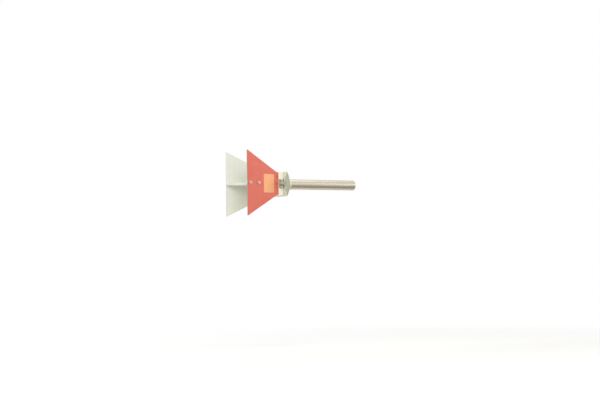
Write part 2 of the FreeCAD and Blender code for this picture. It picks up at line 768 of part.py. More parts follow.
turned(shell, [
    (0, -wall_outside),
    (insulator_radius, -wall_outside),
    (insulator_radius, S["mouth_depth"] - barrel_end),
    (mouth_radius, S["mouth_depth"] - barrel_end),
    (mouth_radius, -barrel_end),
    (0, -barrel_end)], "Y", "Groove")
nodes["socket_shell"] = cut("socket_shell", shell, [flange_drill])

insulator = body("socket_insulator", x=feed_x)
pin_bore = S["pin_diameter"] / 2 + feed_gap
feed_bore_radius = S["feed_diameter"] / 2 + feed_gap
insulator_face = barrel_end - S["mouth_depth"]
turned(insulator, [
    (pin_bore, -insulator_face),
    (insulator_radius, -insulator_face),
    (insulator_radius, -wall_inside),
    (S["ridge_bore"] / 2, -wall_inside),
    (S["ridge_bore"] / 2, -half_gap),
    (feed_bore_radius, -half_gap),
    (feed_bore_radius, -wall_inside),
    (pin_bore, -wall_inside)], "Y")
nodes["socket_insulator"] = insulator

contact = body("socket_contact", x=feed_x)
turned(contact, [
    (0, half_gap + S["feed_depth"]),
    (S["feed_diameter"] / 2, half_gap + S["feed_depth"]),
    (S["feed_diameter"] / 2, -wall_inside),
    (S["pin_diameter"] / 2, -wall_inside),
    (S["pin_diameter"] / 2, -insulator_face),
    (0, -insulator_face)], "Y")
nodes["socket_contact"] = contact

doc.recompute()

# Check and write

faults = []
for item in doc.Objects:
    if "Invalid" in item.State or "Error" in item.State:
        faults.append("%s: %s" % (item.Label, item.State))
for name, node in nodes.items():
    if node.Label != name:
        faults.append("%s has the label %s" % (name, node.Label))
    if node.Shape.isNull() or not node.Shape.isValid() or not node.Shape.Solids:
        faults.append("%s has no valid solid" % name)
if faults:
    raise RuntimeError("; ".join(faults))

os.makedirs("parts", exist_ok=True)
triangles = 0
for name, node in sorted(nodes.items()):
    node.Shape.exportStep("parts/%s.step" % name)
    points, facets = node.Shape.tessellate(0.1)
    triangles += len(facets)
    box = node.Shape.BoundBox
    print("%-20s solids %d volume %10.1f x %7.1f..%7.1f y %6.1f..%6.1f z %6.1f..%6.1f tri %d" % (
        name, len(node.Shape.Solids), node.Shape.Volume, box.XMin, box.XMax, box.YMin,
        box.YMax, box.ZMin, box.ZMax, len(facets)))
print("nodes", len(nodes), "triangles", triangles)
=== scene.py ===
"""Looks of an open double ridged horn antenna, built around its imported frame.

Metres, +Z up. The X axis is the axis of the horn and of its mounting tube, the horn looks
towards -X, and the red plates stand at -Y (left) and +Y (right).
"""

import logging
import math
from dataclasses import dataclass
from enum import Enum
from typing import Callable, Optional, Sequence, Union

import bmesh
import bpy
from mathutils import Matrix, Vector


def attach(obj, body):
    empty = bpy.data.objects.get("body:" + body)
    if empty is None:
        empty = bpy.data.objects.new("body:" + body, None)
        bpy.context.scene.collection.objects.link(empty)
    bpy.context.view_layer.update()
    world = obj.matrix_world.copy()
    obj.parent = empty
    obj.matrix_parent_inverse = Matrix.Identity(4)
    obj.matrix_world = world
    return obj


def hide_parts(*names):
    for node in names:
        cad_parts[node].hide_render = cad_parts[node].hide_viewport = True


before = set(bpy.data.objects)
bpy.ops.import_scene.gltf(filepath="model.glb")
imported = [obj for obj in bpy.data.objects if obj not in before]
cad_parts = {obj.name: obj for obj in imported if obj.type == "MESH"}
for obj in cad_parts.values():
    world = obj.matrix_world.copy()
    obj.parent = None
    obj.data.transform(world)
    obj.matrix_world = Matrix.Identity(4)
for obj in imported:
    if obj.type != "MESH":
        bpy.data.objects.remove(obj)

log = logging.getLogger("horn")

Color = tuple[float, float, float, float]
Ring = list[Vector]
Socket = bpy.types.NodeSocket
Value = Union[float, int, bool, str, Color, Vector, Socket, bpy.types.Material, bpy.types.Object]


class Side(Enum):
    """The two halves of the horn, with the sign of their Y."""

    LEFT = -1
    RIGHT = 1

    @property
    def prefix(self) -> str:
        """The first word of this side's node names."""
        return self.name.lower()


class Cut(Enum):
    """What a tool does to the piece it meets."""

    AWAY = "DIFFERENCE"
    SHARED = "INTERSECT"


class Axis(Enum):
    """A direction of the row, for lines on a surface and for turned pieces."""

    X = 0
    Y = 1
    Z = 2


def linear(red: int, green: int, blue: int) -> Color:
    """A display colour as the linear colour that a shader takes.

    Args:
        red: 0 to 255.
        green: 0 to 255.
        blue: 0 to 255.

    Returns:
        Linear red, green, blue and an alpha of 1.
    """
    parts = []
    for channel in (red, green, blue):
        share = channel / 255.0
        parts.append(share / 12.92 if share <= 0.04045 else ((share + 0.055) / 1.055) ** 2.4)
    return (parts[0], parts[1], parts[2], 1.0)


def shaded(color: Color, factor: float) -> Color:
    """A colour made darker or lighter by one factor."""
    return (color[0] * factor, color[1] * factor, color[2] * factor, 1.0)


# Sizes shared by the pieces


@dataclass(frozen=True)
class HornSizes:
    """Lengths of the horn in metres.

    They are those of its solids, but for the plates' half width at the end of the tab and
    their corner, which follow the straight taper that is made here.
    """

    throat_x: float = -0.1264
    half_throat: float = 0.0175
    half_aperture: float = 0.043
    flare_length: float = 0.084
    sheet: float = 0.002
    tab: float = 0.007
    bend: float = 0.003
    half_aperture_width: float = 0.0685
    half_rear_width: float = 0.0222
    corner: float = 0.00063
    half_housing: float = 0.025
    cover: float = 0.005
    wall_outside: float = 0.0195
    wall_middle: float = 0.01675
    housing_length: float = 0.0185
    half_block: float = 0.0255
    wall_inside: float = 0.014
    ridge: float = 0.005
    half_gap: float = 0.0009
    ridge_run: float = 0.0832
    ridge_rear: float = 0.0165
    ridge_nose: float = 0.0045
    feed_setback: float = 0.013
    flange: float = 0.002
    flange_screw_height: float = 0.007
    block_screw_seat: float = 0.0115
    block_screw_height: float = 0.012
    sunk_head: float = 0.00305
    sunk_thread: float = 0.00165

    @property
    def block_start(self) -> float:
        """Where the covers end and the block begins."""
        return self.throat_x + self.housing_length

    @property
    def nose_tip(self) -> float:
        """Distance from the axis to the tip of a ridge."""
        return self.half_throat + self.rise / self.flare_length * self.ridge_run - self.ridge_nose

    @property
    def flare_rate(self) -> float:
        """How fast the gap between the ridges opens, per metre."""
        return math.log(self.nose_tip / self.half_gap) / self.ridge_run

    @property
    def rise(self) -> float:
        """How far a plate moves out from throat to aperture."""
        return self.half_aperture - self.half_throat

    @property
    def angle(self) -> float:
        """Angle between a plate and the axis."""
        return math.atan(self.rise / self.flare_length)

    @property
    def slant(self) -> float:
        """Length of a plate from bend to aperture."""
        return math.hypot(self.rise, self.flare_length)

    def on_plate(self, side: Side, along: float, proud: float, height: float) -> Vector:
        """A point over a flared plate.

        Args:
            side: Which plate.
            along: Distance from the bend towards the aperture, along the sheet.
            proud: Distance out from the face that looks at the axis.
            height: Z.

        Returns:
            The point in the row frame.
        """
        x = self.throat_x - along * math.cos(self.angle) + proud * math.sin(self.angle)
        y = self.half_throat + along * math.sin(self.angle) + proud * math.cos(self.angle)
        return Vector((x, side.value * y, height))

    def half_width(self, x: float) -> float:
        """Half the width of a plate, which tapers evenly from aperture to tab.

        Args:
            x: Place along the axis.

        Returns:
            The half width, less what the rounded corner at the aperture takes.
        """
        spread = (self.half_aperture_width - self.half_rear_width) / (self.flare_length + self.tab)
        lean = math.hypot(1.0, spread)
        back = max(0.0, x - self.throat_x + self.flare_length)
        if back >= self.corner * (1.0 + spread / lean):
            return self.half_aperture_width - spread * back
        middle = self.half_aperture_width - self.corner * (spread + lean)
        return middle + math.sqrt(max(0.0, self.corner ** 2 - (back - self.corner) ** 2))

    def plate_normal(self, side: Side) -> Vector:
        """The direction square out of a flared plate."""
        return Vector((math.sin(self.angle), side.value * math.cos(self.angle), 0.0))


HORN = HornSizes()


# Node trees


class NodeSheet:
    """Short calls that add and join the nodes of one tree."""

    def __init__(self, tree: bpy.types.NodeTree) -> None:
        """Keeps the tree.

        Args:
            tree: A shader or geometry tree.
        """
        self.tree = tree

    def add(self, kind: str, values: Optional[dict[Union[str, int], Value]] = None,
            **settings: Union[str, bool, float]) -> bpy.types.Node:
        """Adds a node.

        Args:
            kind: The node's type name.
            values: Values or sockets for its inputs, by name or number.
            settings: Attributes of the node, such as its operation.

        Returns:
            The node.
        """
        node = self.tree.nodes.new(kind)
        for name, value in settings.items():
            setattr(node, name, value)
        for key, value in (values or {}).items():
            self.feed(node.inputs[key], value)
        return node

    def feed(self, target: Socket, value: Value) -> None:
        """Joins a socket to an input, or sets the input's own value.

        Args:
            target: The input.
            value: A socket or a plain value.
        """
        if isinstance(value, bpy.types.NodeSocket):
            self.tree.links.new(value, target)
        else:
            target.default_value = value

    def math(self, operation: str, first: Value, second: Value = 0.0,
             third: Value = 0.0, clamp: bool = False) -> Socket:
        """One Math node.

        Args:
            operation: Its operation.
            first: First input.
            second: Second input.
            third: Third input.
            clamp: Whether the result stays between 0 and 1.

        Returns:
            Its output.
        """
        node = self.add("ShaderNodeMath", {0: first, 1: second, 2: third},
                        operation=operation, use_clamp=clamp)
        return node.outputs[0]

    def remap(self, value: Value, low: Value, high: Value, to_low: Value = 0.0,
              to_high: Value = 1.0) -> Socket:
        """A clamped Map Range from one span to another.

        Args:
            value: What is mapped.
            low: Start of the first span.
            high: End of the first span.
            to_low: Start of the second span.
            to_high: End of the second span.

        Returns:
            The mapped value.
        """
        node = self.add("ShaderNodeMapRange",
                        {0: value, 1: low, 2: high, 3: to_low, 4: to_high}, clamp=True)
        return node.outputs[0]

    def mix(self, share: Value, first: Value, second: Value) -> Socket:
        """A colour between two colours."""
        node = self.add("ShaderNodeMix", {0: share, 6: first, 7: second}, data_type="RGBA")
        return node.outputs[2]

    def split(self, vector: Value) -> tuple[Socket, Socket, Socket]:
        """The three parts of a vector."""
        node = self.add("ShaderNodeSeparateXYZ", {0: vector})
        return node.outputs[0], node.outputs[1], node.outputs[2]

    def join(self, x: Value, y: Value, z: Value) -> Socket:
        """A vector from three parts."""
        return self.add("ShaderNodeCombineXYZ", {0: x, 1: y, 2: z}).outputs[0]


class EffectBook:
    """The shader node groups that several finishes share, each built once."""

    def __init__(self) -> None:
        """Starts with no group built."""
        self._made: dict[str, bpy.types.NodeTree] = {}

    def _start(self, name: str, inputs: Sequence[tuple[str, str, Value]],
               outputs: Sequence[tuple[str, str]]) -> tuple[NodeSheet, bpy.types.Node, bpy.types.Node]:
        """Opens a new group.

        Args:
            name: The group's name.
            inputs: Name, socket kind and default of each input.
            outputs: Name and socket kind of each output.

        Returns:
            The sheet, the group's input node and its output node.
        """
        tree = bpy.data.node_groups.new(name, "ShaderNodeTree")
        for label, kind, value in inputs:
            made = tree.interface.new_socket(label, in_out="INPUT", socket_type="NodeSocket" + kind)
            made.default_value = value
        for label, kind in outputs:
            tree.interface.new_socket(label, in_out="OUTPUT", socket_type="NodeSocket" + kind)
        self._made[name] = tree
        sheet = NodeSheet(tree)
        return sheet, sheet.add("NodeGroupInput"), sheet.add("NodeGroupOutput")

    def grain(self) -> bpy.types.NodeTree:
        """Fine even tooth, as paint, blasting or casting leaves it: Height and Tone.

        Returns:
            The group, built at the first call.
        """
        if "fine_grain" in self._made:
            return self._made["fine_grain"]
        sheet, start, end = self._start(
            "fine_grain", [("Vector", "Vector", (0.0, 0.0, 0.0)), ("Size", "Float", 0.0004)],
            [("Height", "Float"), ("Tone", "Float")])
        scale = sheet.math("DIVIDE", 1.0, start.outputs["Size"])
        fine = sheet.add("ShaderNodeTexNoise", {"Vector": start.outputs["Vector"], "Scale": scale,
                                                "Detail": 3.0, "Roughness": 0.55})
        broad = sheet.add("ShaderNodeTexNoise", {
            "Vector": start.outputs["Vector"], "Scale": sheet.math("MULTIPLY", scale, 0.21),
            "Detail": 2.0, "Roughness": 0.5})
        sheet.feed(end.inputs["Height"], fine.outputs[0])
        sheet.feed(end.inputs["Tone"], sheet.remap(broad.outputs[0], 0.3, 0.7))
        return sheet.tree

    def lines(self) -> bpy.types.NodeTree:
        """Straight machining or drawing lines along X of the vector: Height and Tone.

        Returns:
            The group, built at the first call.
        """
        if "tool_lines" in self._made:
            return self._made["tool_lines"]
        sheet, start, end = self._start(
            "tool_lines", [("Vector", "Vector", (0.0, 0.0, 0.0)), ("Pitch", "Float", 0.0003),
                           ("Length", "Float", 0.02)],
            [("Height", "Float"), ("Tone", "Float")])
        across = sheet.math("DIVIDE", 1.0, start.outputs["Pitch"])
        along = sheet.math("DIVIDE", 1.0, start.outputs["Length"])
        x, y, z = sheet.split(start.outputs["Vector"])
        vector = sheet.join(sheet.math("MULTIPLY", x, along), sheet.math("MULTIPLY", y, across),
                            sheet.math("MULTIPLY", z, across))
        fine = sheet.add("ShaderNodeTexNoise", {"Vector": vector, "Scale": 1.0, "Detail": 4.0,
                                                "Roughness": 0.6})
        slow = sheet.add("ShaderNodeTexNoise", {"Vector": vector, "Scale": 0.17, "Detail": 2.0,
                                                "Roughness": 0.5})
        sheet.feed(end.inputs["Height"], fine.outputs[0])
        sheet.feed(end.inputs["Tone"], sheet.remap(slow.outputs[0], 0.28, 0.72))
        return sheet.tree

    def marks(self) -> bpy.types.NodeTree:
        """Soft patches that handling leaves, and a few scratches: Patch and Scratch.

        Returns:
            The group, built at the first call.
        """
        if "handling_marks" in self._made:
            return self._made["handling_marks"]
        sheet, start, end = self._start(
            "handling_marks", [("Vector", "Vector", (0.0, 0.0, 0.0)), ("Size", "Float", 0.02),
                               ("Seed", "Float", 0.0)],
            [("Patch", "Float"), ("Scratch", "Float")])
        scale = sheet.math("DIVIDE", 1.0, start.outputs["Size"])
        patch = sheet.add("ShaderNodeTexNoise", {
            "Vector": start.outputs["Vector"], "W": start.outputs["Seed"], "Scale": scale,
            "Detail": 4.0, "Roughness": 0.6, "Distortion": 0.4}, noise_dimensions="4D")
        bent = sheet.add("ShaderNodeTexNoise", {
            "Vector": start.outputs["Vector"], "W": start.outputs["Seed"],
            "Scale": sheet.math("MULTIPLY", scale, 1.7), "Detail": 1.0}, noise_dimensions="4D")
        shifted = sheet.add("ShaderNodeVectorMath", {
            0: start.outputs["Vector"],
            1: sheet.add("ShaderNodeVectorMath", {0: bent.outputs[1], 3: 0.012},
                         operation="SCALE").outputs[0]}, operation="ADD")
        turned = sheet.add("ShaderNodeMapping", {
            "Vector": shifted.outputs[0], "Rotation": (0.5, 0.9, 0.35), "Scale": (9.0, 420.0, 300.0)})
        streak = sheet.add("ShaderNodeTexNoise", {
            "Vector": turned.outputs[0], "W": start.outputs["Seed"], "Scale": 1.0, "Detail": 1.0},
            noise_dimensions="4D")
        sheet.feed(end.inputs["Patch"], sheet.remap(patch.outputs[0], 0.35, 0.68))
        sheet.feed(end.inputs["Scratch"], sheet.remap(streak.outputs[0], 0.71, 0.76))
        return sheet.tree

    def edges(self) -> bpy.types.NodeTree:
        """Softly broken edges: Wear, a mask along the edges, and the softened Normal.

        Returns:
            The group, built at the first call.
        """
        if "broken_edges" in self._made:
            return self._made["broken_edges"]
        sheet, start, end = self._start(
            "broken_edges", [("Vector", "Vector", (0.0, 0.0, 0.0)), ("Radius", "Float", 0.0003),
                             ("Ragged", "Float", 0.5)],
            [("Wear", "Float"), ("Normal", "Vector")])
        soft = sheet.add("ShaderNodeBevel", {"Radius": start.outputs["Radius"]}, samples=4)
        flat = sheet.add("ShaderNodeNewGeometry").outputs["True Normal"]
        along = sheet.add("ShaderNodeVectorMath", {0: soft.outputs[0], 1: flat},
                          operation="DOT_PRODUCT").outputs["Value"]
        near = sheet.remap(along, 0.995, 0.86)
        spots = sheet.add("ShaderNodeTexNoise", {"Vector": start.outputs["Vector"], "Scale": 900.0,
                                                 "Detail": 3.0})
        gate = sheet.remap(spots.outputs[0], 0.38, 0.62)
        kept = sheet.math("SUBTRACT", 1.0, sheet.math(
            "MULTIPLY", start.outputs["Ragged"], sheet.math("SUBTRACT", 1.0, gate)))
        sheet.feed(end.inputs["Wear"], sheet.math("MULTIPLY", near, kept))
        sheet.feed(end.inputs["Normal"], soft.outputs[0])
        return sheet.tree

    def ring_vector(self) -> bpy.types.NodeTree:
        """Turns a place round the X axis into (angle, along, radius), for lathe lines.

        Returns:
            The group, built at the first call.
        """
        if "round_axis" in self._made:
            return self._made["round_axis"]
        sheet, start, end = self._start(
            "round_axis", [("Vector", "Vector", (0.0, 0.0, 0.0))], [("Vector", "Vector")])
        x, y, z = sheet.split(start.outputs["Vector"])
        angle = sheet.math("ARCTAN2", z, y)
        radius = sheet.math("SQRT", sheet.math(
            "ADD", sheet.math("MULTIPLY", y, y), sheet.math("MULTIPLY", z, z)))
        sheet.feed(end.inputs["Vector"], sheet.join(sheet.math("MULTIPLY", angle, 0.01), x, radius))
        return sheet.tree


EFFECTS = EffectBook()


class Paintwork(NodeSheet):
    """One material being built: its tree, its coordinates and its surface shader."""

    def __init__(self, name: str) -> None:
        """Makes the material with an empty Principled shader.

        Args:
            name: The material's name.
        """
        self.material = bpy.data.materials.new(name)
        self.material.use_nodes = True
        tree = self.material.node_tree
        tree.nodes.clear()
        super().__init__(tree)
        self.output = self.add("ShaderNodeOutputMaterial")
        self.shader = self.add("ShaderNodeBsdfPrincipled")
        self.tree.links.new(self.shader.outputs[0], self.output.inputs[0])
        self.place = self.add("ShaderNodeTexCoord").outputs["Object"]

    def effect(self, group: bpy.types.NodeTree, **values: Value) -> bpy.types.Node:
        """Places a shared group with its own values.

        Args:
            group: The shared group.
            values: Values or sockets for its inputs, by name.

        Returns:
            The group's node.
        """
        node = self.add("ShaderNodeGroup")
        node.node_tree = group
        self.feed(node.inputs["Vector"], self.place)
        for name, value in values.items():
            self.feed(node.inputs[name], value)
        return node

    def turned(self, axis: Axis) -> Socket:
        """The coordinates with the given axis brought to X, for lines along it.

        Args:
            axis: The direction of the lines.

        Returns:
            The turned coordinates.
        """
        x, y, z = self.split(self.place)
        order = {Axis.X: (x, y, z), Axis.Y: (y, z, x), Axis.Z: (z, x, y)}[axis]
        return self.join(*order)

    def relief(self, height: Socket, depth: float, under: Optional[Socket] = None) -> Socket:
        """A bump that stands depth metres high, over another normal if one is given.

        Args:
            height: The bump's height from 0 to 1.
            depth: Its depth in metres.
            under: The normal below it.

        Returns:
            The bumped normal.
        """
        node = self.add("ShaderNodeBump", {"Strength": 1.0, "Distance": depth, "Height": height})
        if under is not None:
            self.feed(node.inputs["Normal"], under)
        return node.outputs[0]

    def set(self, **values: Value) -> None:
        """Sets inputs of the surface shader, with _ for a space in their names."""
        for name, value in values.items():
            self.feed(self.shader.inputs[name.replace("_", " ")], value)


# Finishes


@dataclass(frozen=True)
class PlateFinish:
    """Red paint on the outside of a flared plate, clear passivated sheet within."""

    name: str
    side: Side
    red: Color = linear(218, 104, 84)
    red_deep: Color = linear(210, 95, 76)
    bare: Color = linear(222, 224, 214)
    bare_dull: Color = linear(207, 209, 197)
    edge: Color = linear(182, 168, 156)

    def build(self) -> bpy.types.Material:
        """Tells paint from bare metal by how far a point stands out from the inner face.

        Returns:
            The material.
        """
        work = Paintwork(self.name)
        x, y, _ = work.split(work.place)
        ahead = work.math("SUBTRACT", x, HORN.throat_x)
        out = work.math("SUBTRACT", work.math("MULTIPLY", y, float(self.side.value)),
                        HORN.half_throat)
        slanted = work.math(
            "ADD", work.math("MULTIPLY", ahead, math.sin(HORN.angle)),
            work.math("MULTIPLY", out, math.cos(HORN.angle)))
        proud = work.math("MINIMUM", slanted, out)
        marks = work.effect(EFFECTS.marks(), Size=0.03, Seed=2.0 + self.side.value)
        grain = work.effect(EFFECTS.grain(), Size=0.00035)
        ragged = work.math("MULTIPLY_ADD", grain.outputs["Tone"], 0.0003, proud)
        painted = work.remap(ragged, 0.00172, 0.00182)
        inside = work.remap(proud, 0.00015, 0.00025, 1.0, 0.0)
        rolled = work.effect(EFFECTS.lines(), Vector=work.turned(Axis.Z), Pitch=0.0005, Length=0.08)
        paint = work.mix(work.math("MULTIPLY", marks.outputs["Patch"], 0.55), self.red, self.red_deep)
        paint = work.mix(work.math("MULTIPLY", marks.outputs["Scratch"], 0.18), paint, self.bare_dull)
        sheet = work.mix(work.math("MULTIPLY", rolled.outputs["Tone"], 0.3), self.bare, self.bare_dull)
        metal = work.mix(inside, self.edge, sheet)
        work.set(Base_Color=work.mix(painted, metal, paint))
        work.set(Metallic=work.math("MULTIPLY", work.math("SUBTRACT", 1.0, painted), 0.35))
        paint_rough = work.math("MULTIPLY_ADD", marks.outputs["Patch"], 0.12, 0.36)
        sheet_rough = work.math("MULTIPLY_ADD", rolled.outputs["Tone"], 0.14, 0.4)
        gap = work.math("SUBTRACT", paint_rough, sheet_rough)
        work.set(Roughness=work.math("MULTIPLY_ADD", gap, painted, sheet_rough))
        lines = work.relief(rolled.outputs["Height"], 0.000004)
        work.set(Normal=work.relief(grain.outputs["Height"], 0.000012, lines))
        return work.material


@dataclass(frozen=True)
class PaintFinish:
    """A plain satin paint with a fine tooth."""

    name: str
    color: Color
    deep: Color
    tooth: float = 0.0004
    relief: float = 0.00001
    roughness: float = 0.42
    worn: float = 0.35
    seed: float = 1.0

    def build(self) -> bpy.types.Material:
        """Paint over a fine tooth, darker where edges are rubbed.

        Returns:
            The material.
        """
        work = Paintwork(self.name)
        grain = work.effect(EFFECTS.grain(), Size=self.tooth)
        marks = work.effect(EFFECTS.marks(), Size=0.018, Seed=self.seed)
        edges = work.effect(EFFECTS.edges(), Radius=0.00025)
        color = work.mix(work.math("MULTIPLY", marks.outputs["Patch"], 0.6), self.color, self.deep)
        work.set(Base_Color=work.mix(work.math("MULTIPLY", edges.outputs["Wear"], self.worn), color,
                                     shaded(self.deep, 0.72)))
        rough = work.math("MULTIPLY_ADD", marks.outputs["Patch"], 0.1, self.roughness)
        work.set(Roughness=work.math("MULTIPLY_ADD", grain.outputs["Tone"], 0.06, rough))
        work.set(Normal=work.relief(grain.outputs["Height"], self.relief, edges.outputs["Normal"]))
        return work.material


@dataclass(frozen=True)
class PaintedScrewFinish:
    """Steel screw whose head is painted over together with the plate around it."""

    name: str
    red: Color = linear(219, 110, 90)
    red_deep: Color = linear(205, 97, 79)
    steel: Color = linear(198, 192, 182)
    painted_depth: float = 0.0013

    def build(self) -> bpy.types.Material:
        """Mixes paint and steel by how deep a point lies below the tab's outer face.

        Returns:
            The material.
        """
        work = Paintwork(self.name)
        _, y, _ = work.split(work.place)
        depth = work.math("SUBTRACT", HORN.wall_outside, work.math("ABSOLUTE", y))
        grain = work.effect(EFFECTS.grain(), Size=0.0004)
        marks = work.effect(EFFECTS.marks(), Size=0.006, Seed=7.0)
        ragged = work.math("MULTIPLY_ADD", grain.outputs["Tone"], 0.0002, depth)
        painted = work.remap(ragged, self.painted_depth, self.painted_depth + 0.0001, 1.0, 0.0)
        red = work.mix(marks.outputs["Patch"], self.red, self.red_deep)
        work.set(Base_Color=work.mix(painted, self.steel, red))
        work.set(Metallic=work.math("SUBTRACT", 1.0, painted))
        work.set(Roughness=work.math("MULTIPLY_ADD", painted, 0.14, 0.28))
        work.set(Normal=work.relief(grain.outputs["Height"], 0.000008))
        return work.material


@dataclass(frozen=True)
class BlockFinish:
    """Bright turned cones, and flats painted darker and greener, on the cavity block: partly a duller
    finish, partly painted shade.
    """

    name: str
    turned: Color = linear(222, 224, 203)
    turned_deep: Color = linear(208, 210, 188)
    flat: Color = linear(178, 181, 163)
    flat_deep: Color = linear(165, 168, 150)

    def build(self) -> bpy.types.Material:
        """Tells flats from cones: on a flat, Y or Z is at the block's full half width.

        Returns:
            The material.
        """
        work = Paintwork(self.name)
        _, y, z = work.split(work.place)
        reach = work.math("MAXIMUM", work.math("ABSOLUTE", y), work.math("ABSOLUTE", z))
        on_flat = work.remap(reach, HORN.half_block - 0.00008, HORN.half_block - 0.00003)
        marks = work.effect(EFFECTS.marks(), Size=0.016, Seed=5.0)
        grain = work.effect(EFFECTS.grain(), Size=0.0003)
        round_axis = work.effect(EFFECTS.ring_vector())
        lathe = work.effect(EFFECTS.lines(), Vector=round_axis.outputs[0], Pitch=0.00022, Length=0.02)
        bright = work.mix(work.math("MULTIPLY", lathe.outputs["Tone"], 0.7), self.turned,
                          self.turned_deep)
        # painted shade: the flats' darker, greener colour is partly a duller finish and partly the dark
        # reflection they show
        dull_and_shaded = work.mix(marks.outputs["Patch"], self.flat, self.flat_deep)
        work.set(Base_Color=work.mix(on_flat, bright, dull_and_shaded))
        work.set(Metallic=work.math("MULTIPLY", work.math("SUBTRACT", 1.0, on_flat), 0.25))
        work.set(Roughness=work.math("MULTIPLY_ADD", on_flat, 0.14,
                                     work.math("MULTIPLY_ADD", lathe.outputs["Tone"], 0.1, 0.34)))
        cut = work.math("MULTIPLY", lathe.outputs["Height"], work.math("SUBTRACT", 1.0, on_flat))
        edges = work.effect(EFFECTS.edges(), Radius=0.0003)
        lines = work.relief(cut, 0.00001, edges.outputs["Normal"])
        work.set(Normal=work.relief(grain.outputs["Height"], 0.000006, lines))
        return work.material


@dataclass(frozen=True)
class TubeFinish:
    """Drawn and satin anodised tube, with lines along it and a few clamp rubs."""

    name: str
    light: Color = linear(203, 198, 183)
    deep: Color = linear(186, 177, 159)

    def build(self) -> bpy.types.Material:
        """Satin metal with drawing lines along it and rub marks round it.

        Returns:
            The material.
        """
        work = Paintwork(self.name)
        drawn = work.effect(EFFECTS.lines(), Pitch=0.00035, Length=0.06)
        marks = work.effect(EFFECTS.marks(), Size=0.025, Seed=8.0)
        rubs = work.effect(EFFECTS.marks(), Vector=work.turned(Axis.Y), Size=0.009, Seed=3.0)
        color = work.mix(work.math("MULTIPLY", drawn.outputs["Tone"], 0.5), self.light, self.deep)
        color = work.mix(work.math("MULTIPLY", marks.outputs["Patch"], 0.35), color, self.deep)
        color = work.mix(work.math("MULTIPLY", rubs.outputs["Scratch"], 0.25), color,
                         shaded(self.light, 1.1))
        work.set(Base_Color=color, Metallic=0.75)
        work.set(Roughness=work.math("MULTIPLY_ADD", marks.outputs["Patch"], 0.08, 0.22))
        lines = work.relief(drawn.outputs["Height"], 0.000006)
        work.set(Normal=work.relief(rubs.outputs["Scratch"], -0.000004, lines))
        return work.material


@dataclass(frozen=True)
class MetalFinish:
    """Bare or plated metal with tool lines along one axis."""

    name: str
    color: Color
    deep: Color
    axis: Axis = Axis.X
    pitch: float = 0.0003
    length: float = 0.02
    metallic: float = 1.0
    roughness: float = 0.28
    relief: float = 0.000004
    edge: float = 0.00015
    seed: float = 4.0

    def build(self) -> bpy.types.Material:
        """Metal with tool lines, soft patches and broken edges.

        Returns:
            The material.
        """
        work = Paintwork(self.name)
        lines = work.effect(EFFECTS.lines(), Vector=work.turned(self.axis), Pitch=self.pitch,
                            Length=self.length)
        marks = work.effect(EFFECTS.marks(), Size=0.012, Seed=self.seed)
        edges = work.effect(EFFECTS.edges(), Radius=self.edge)
        color = work.mix(work.math("MULTIPLY", lines.outputs["Tone"], 0.6), self.color, self.deep)
        color = work.mix(work.math("MULTIPLY", marks.outputs["Patch"], 0.4), color, self.deep)
        work.set(Base_Color=color, Metallic=self.metallic)
        rough = work.math("MULTIPLY_ADD", marks.outputs["Patch"], 0.1, self.roughness)
        work.set(Roughness=work.math("MULTIPLY_ADD", lines.outputs["Tone"], 0.06, rough))
        work.set(Normal=work.relief(lines.outputs["Height"], self.relief, edges.outputs["Normal"]))
        return work.material


@dataclass(frozen=True)
class StickerFinish:
    """Orange film of a bare sticker, paler in patches and towards its bottom, and lifted towards its
    rim.
    """

    name: str
    color: Color = linear(243, 169, 118)
    paler: Color = linear(245, 180, 132)

    def build(self) -> bpy.types.Material:
        """Film that turns paler downwards and in patches, and waves a little.

        Returns:
            The material.
        """
        work = Paintwork(self.name)
        marks = work.effect(EFFECTS.marks(), Size=0.014, Seed=6.0)
        grain = work.effect(EFFECTS.grain(), Size=0.0006)
        _, _, z = work.split(work.place)
        # paler towards the bottom, by height alone
        low = work.remap(z, 0.0, -0.02)
        share = work.math("MULTIPLY_ADD", marks.outputs["Patch"], 0.4,
                          work.math("MULTIPLY", low, 0.6), clamp=True)
        work.set(Base_Color=work.mix(share, self.color, self.paler))
        work.set(Roughness=work.math("MULTIPLY_ADD", marks.outputs["Patch"], 0.1, 0.4))
        wave = work.add("ShaderNodeTexNoise", {"Vector": work.place, "Scale": 90.0, "Detail": 1.0})
        film = work.relief(wave.outputs[0], 0.00003)
        work.set(Normal=work.relief(grain.outputs["Height"], 0.000004, film))
        return work.material


@dataclass(frozen=True)
class StageFinish:
    """Pale floor that turns white away from the object, for camera, gloss and glass."""

    name: str
    color: Color = linear(246, 246, 244)
    bounce: Color = linear(222, 214, 200)
    near: float = 0.45
    far: float = 1.3

    def build(self) -> bpy.types.Material:
        """White for camera and gloss far away, and a duller tone for the light it throws back.

        Returns:
            The material.
        """
        work = Paintwork(self.name)
        work.set(Roughness=0.9)
        x, y, _ = work.split(work.place)
        away = work.math("SQRT", work.math("ADD", work.math("MULTIPLY", x, x),
                                           work.math("MULTIPLY", y, y)))
        fade = work.remap(away, self.near, self.far)
        path = work.add("ShaderNodeLightPath")
        seen = work.math("MAXIMUM", path.outputs["Is Camera Ray"], path.outputs["Is Glossy Ray"])
        seen = work.math("MAXIMUM", seen, path.outputs["Is Transmission Ray"])
        work.set(Base_Color=work.mix(seen, self.bounce, self.color))
        white = work.add("ShaderNodeEmission", {"Color": (1.0, 1.0, 1.0, 1.0), "Strength": 1.0})
        mixed = work.add("ShaderNodeMixShader", {0: work.math("MULTIPLY", seen, fade)})
        work.feed(mixed.inputs[1], work.shader.outputs[0])
        work.feed(mixed.inputs[2], white.outputs[0])
        work.feed(work.output.inputs[0], mixed.outputs[0])
        return work.material


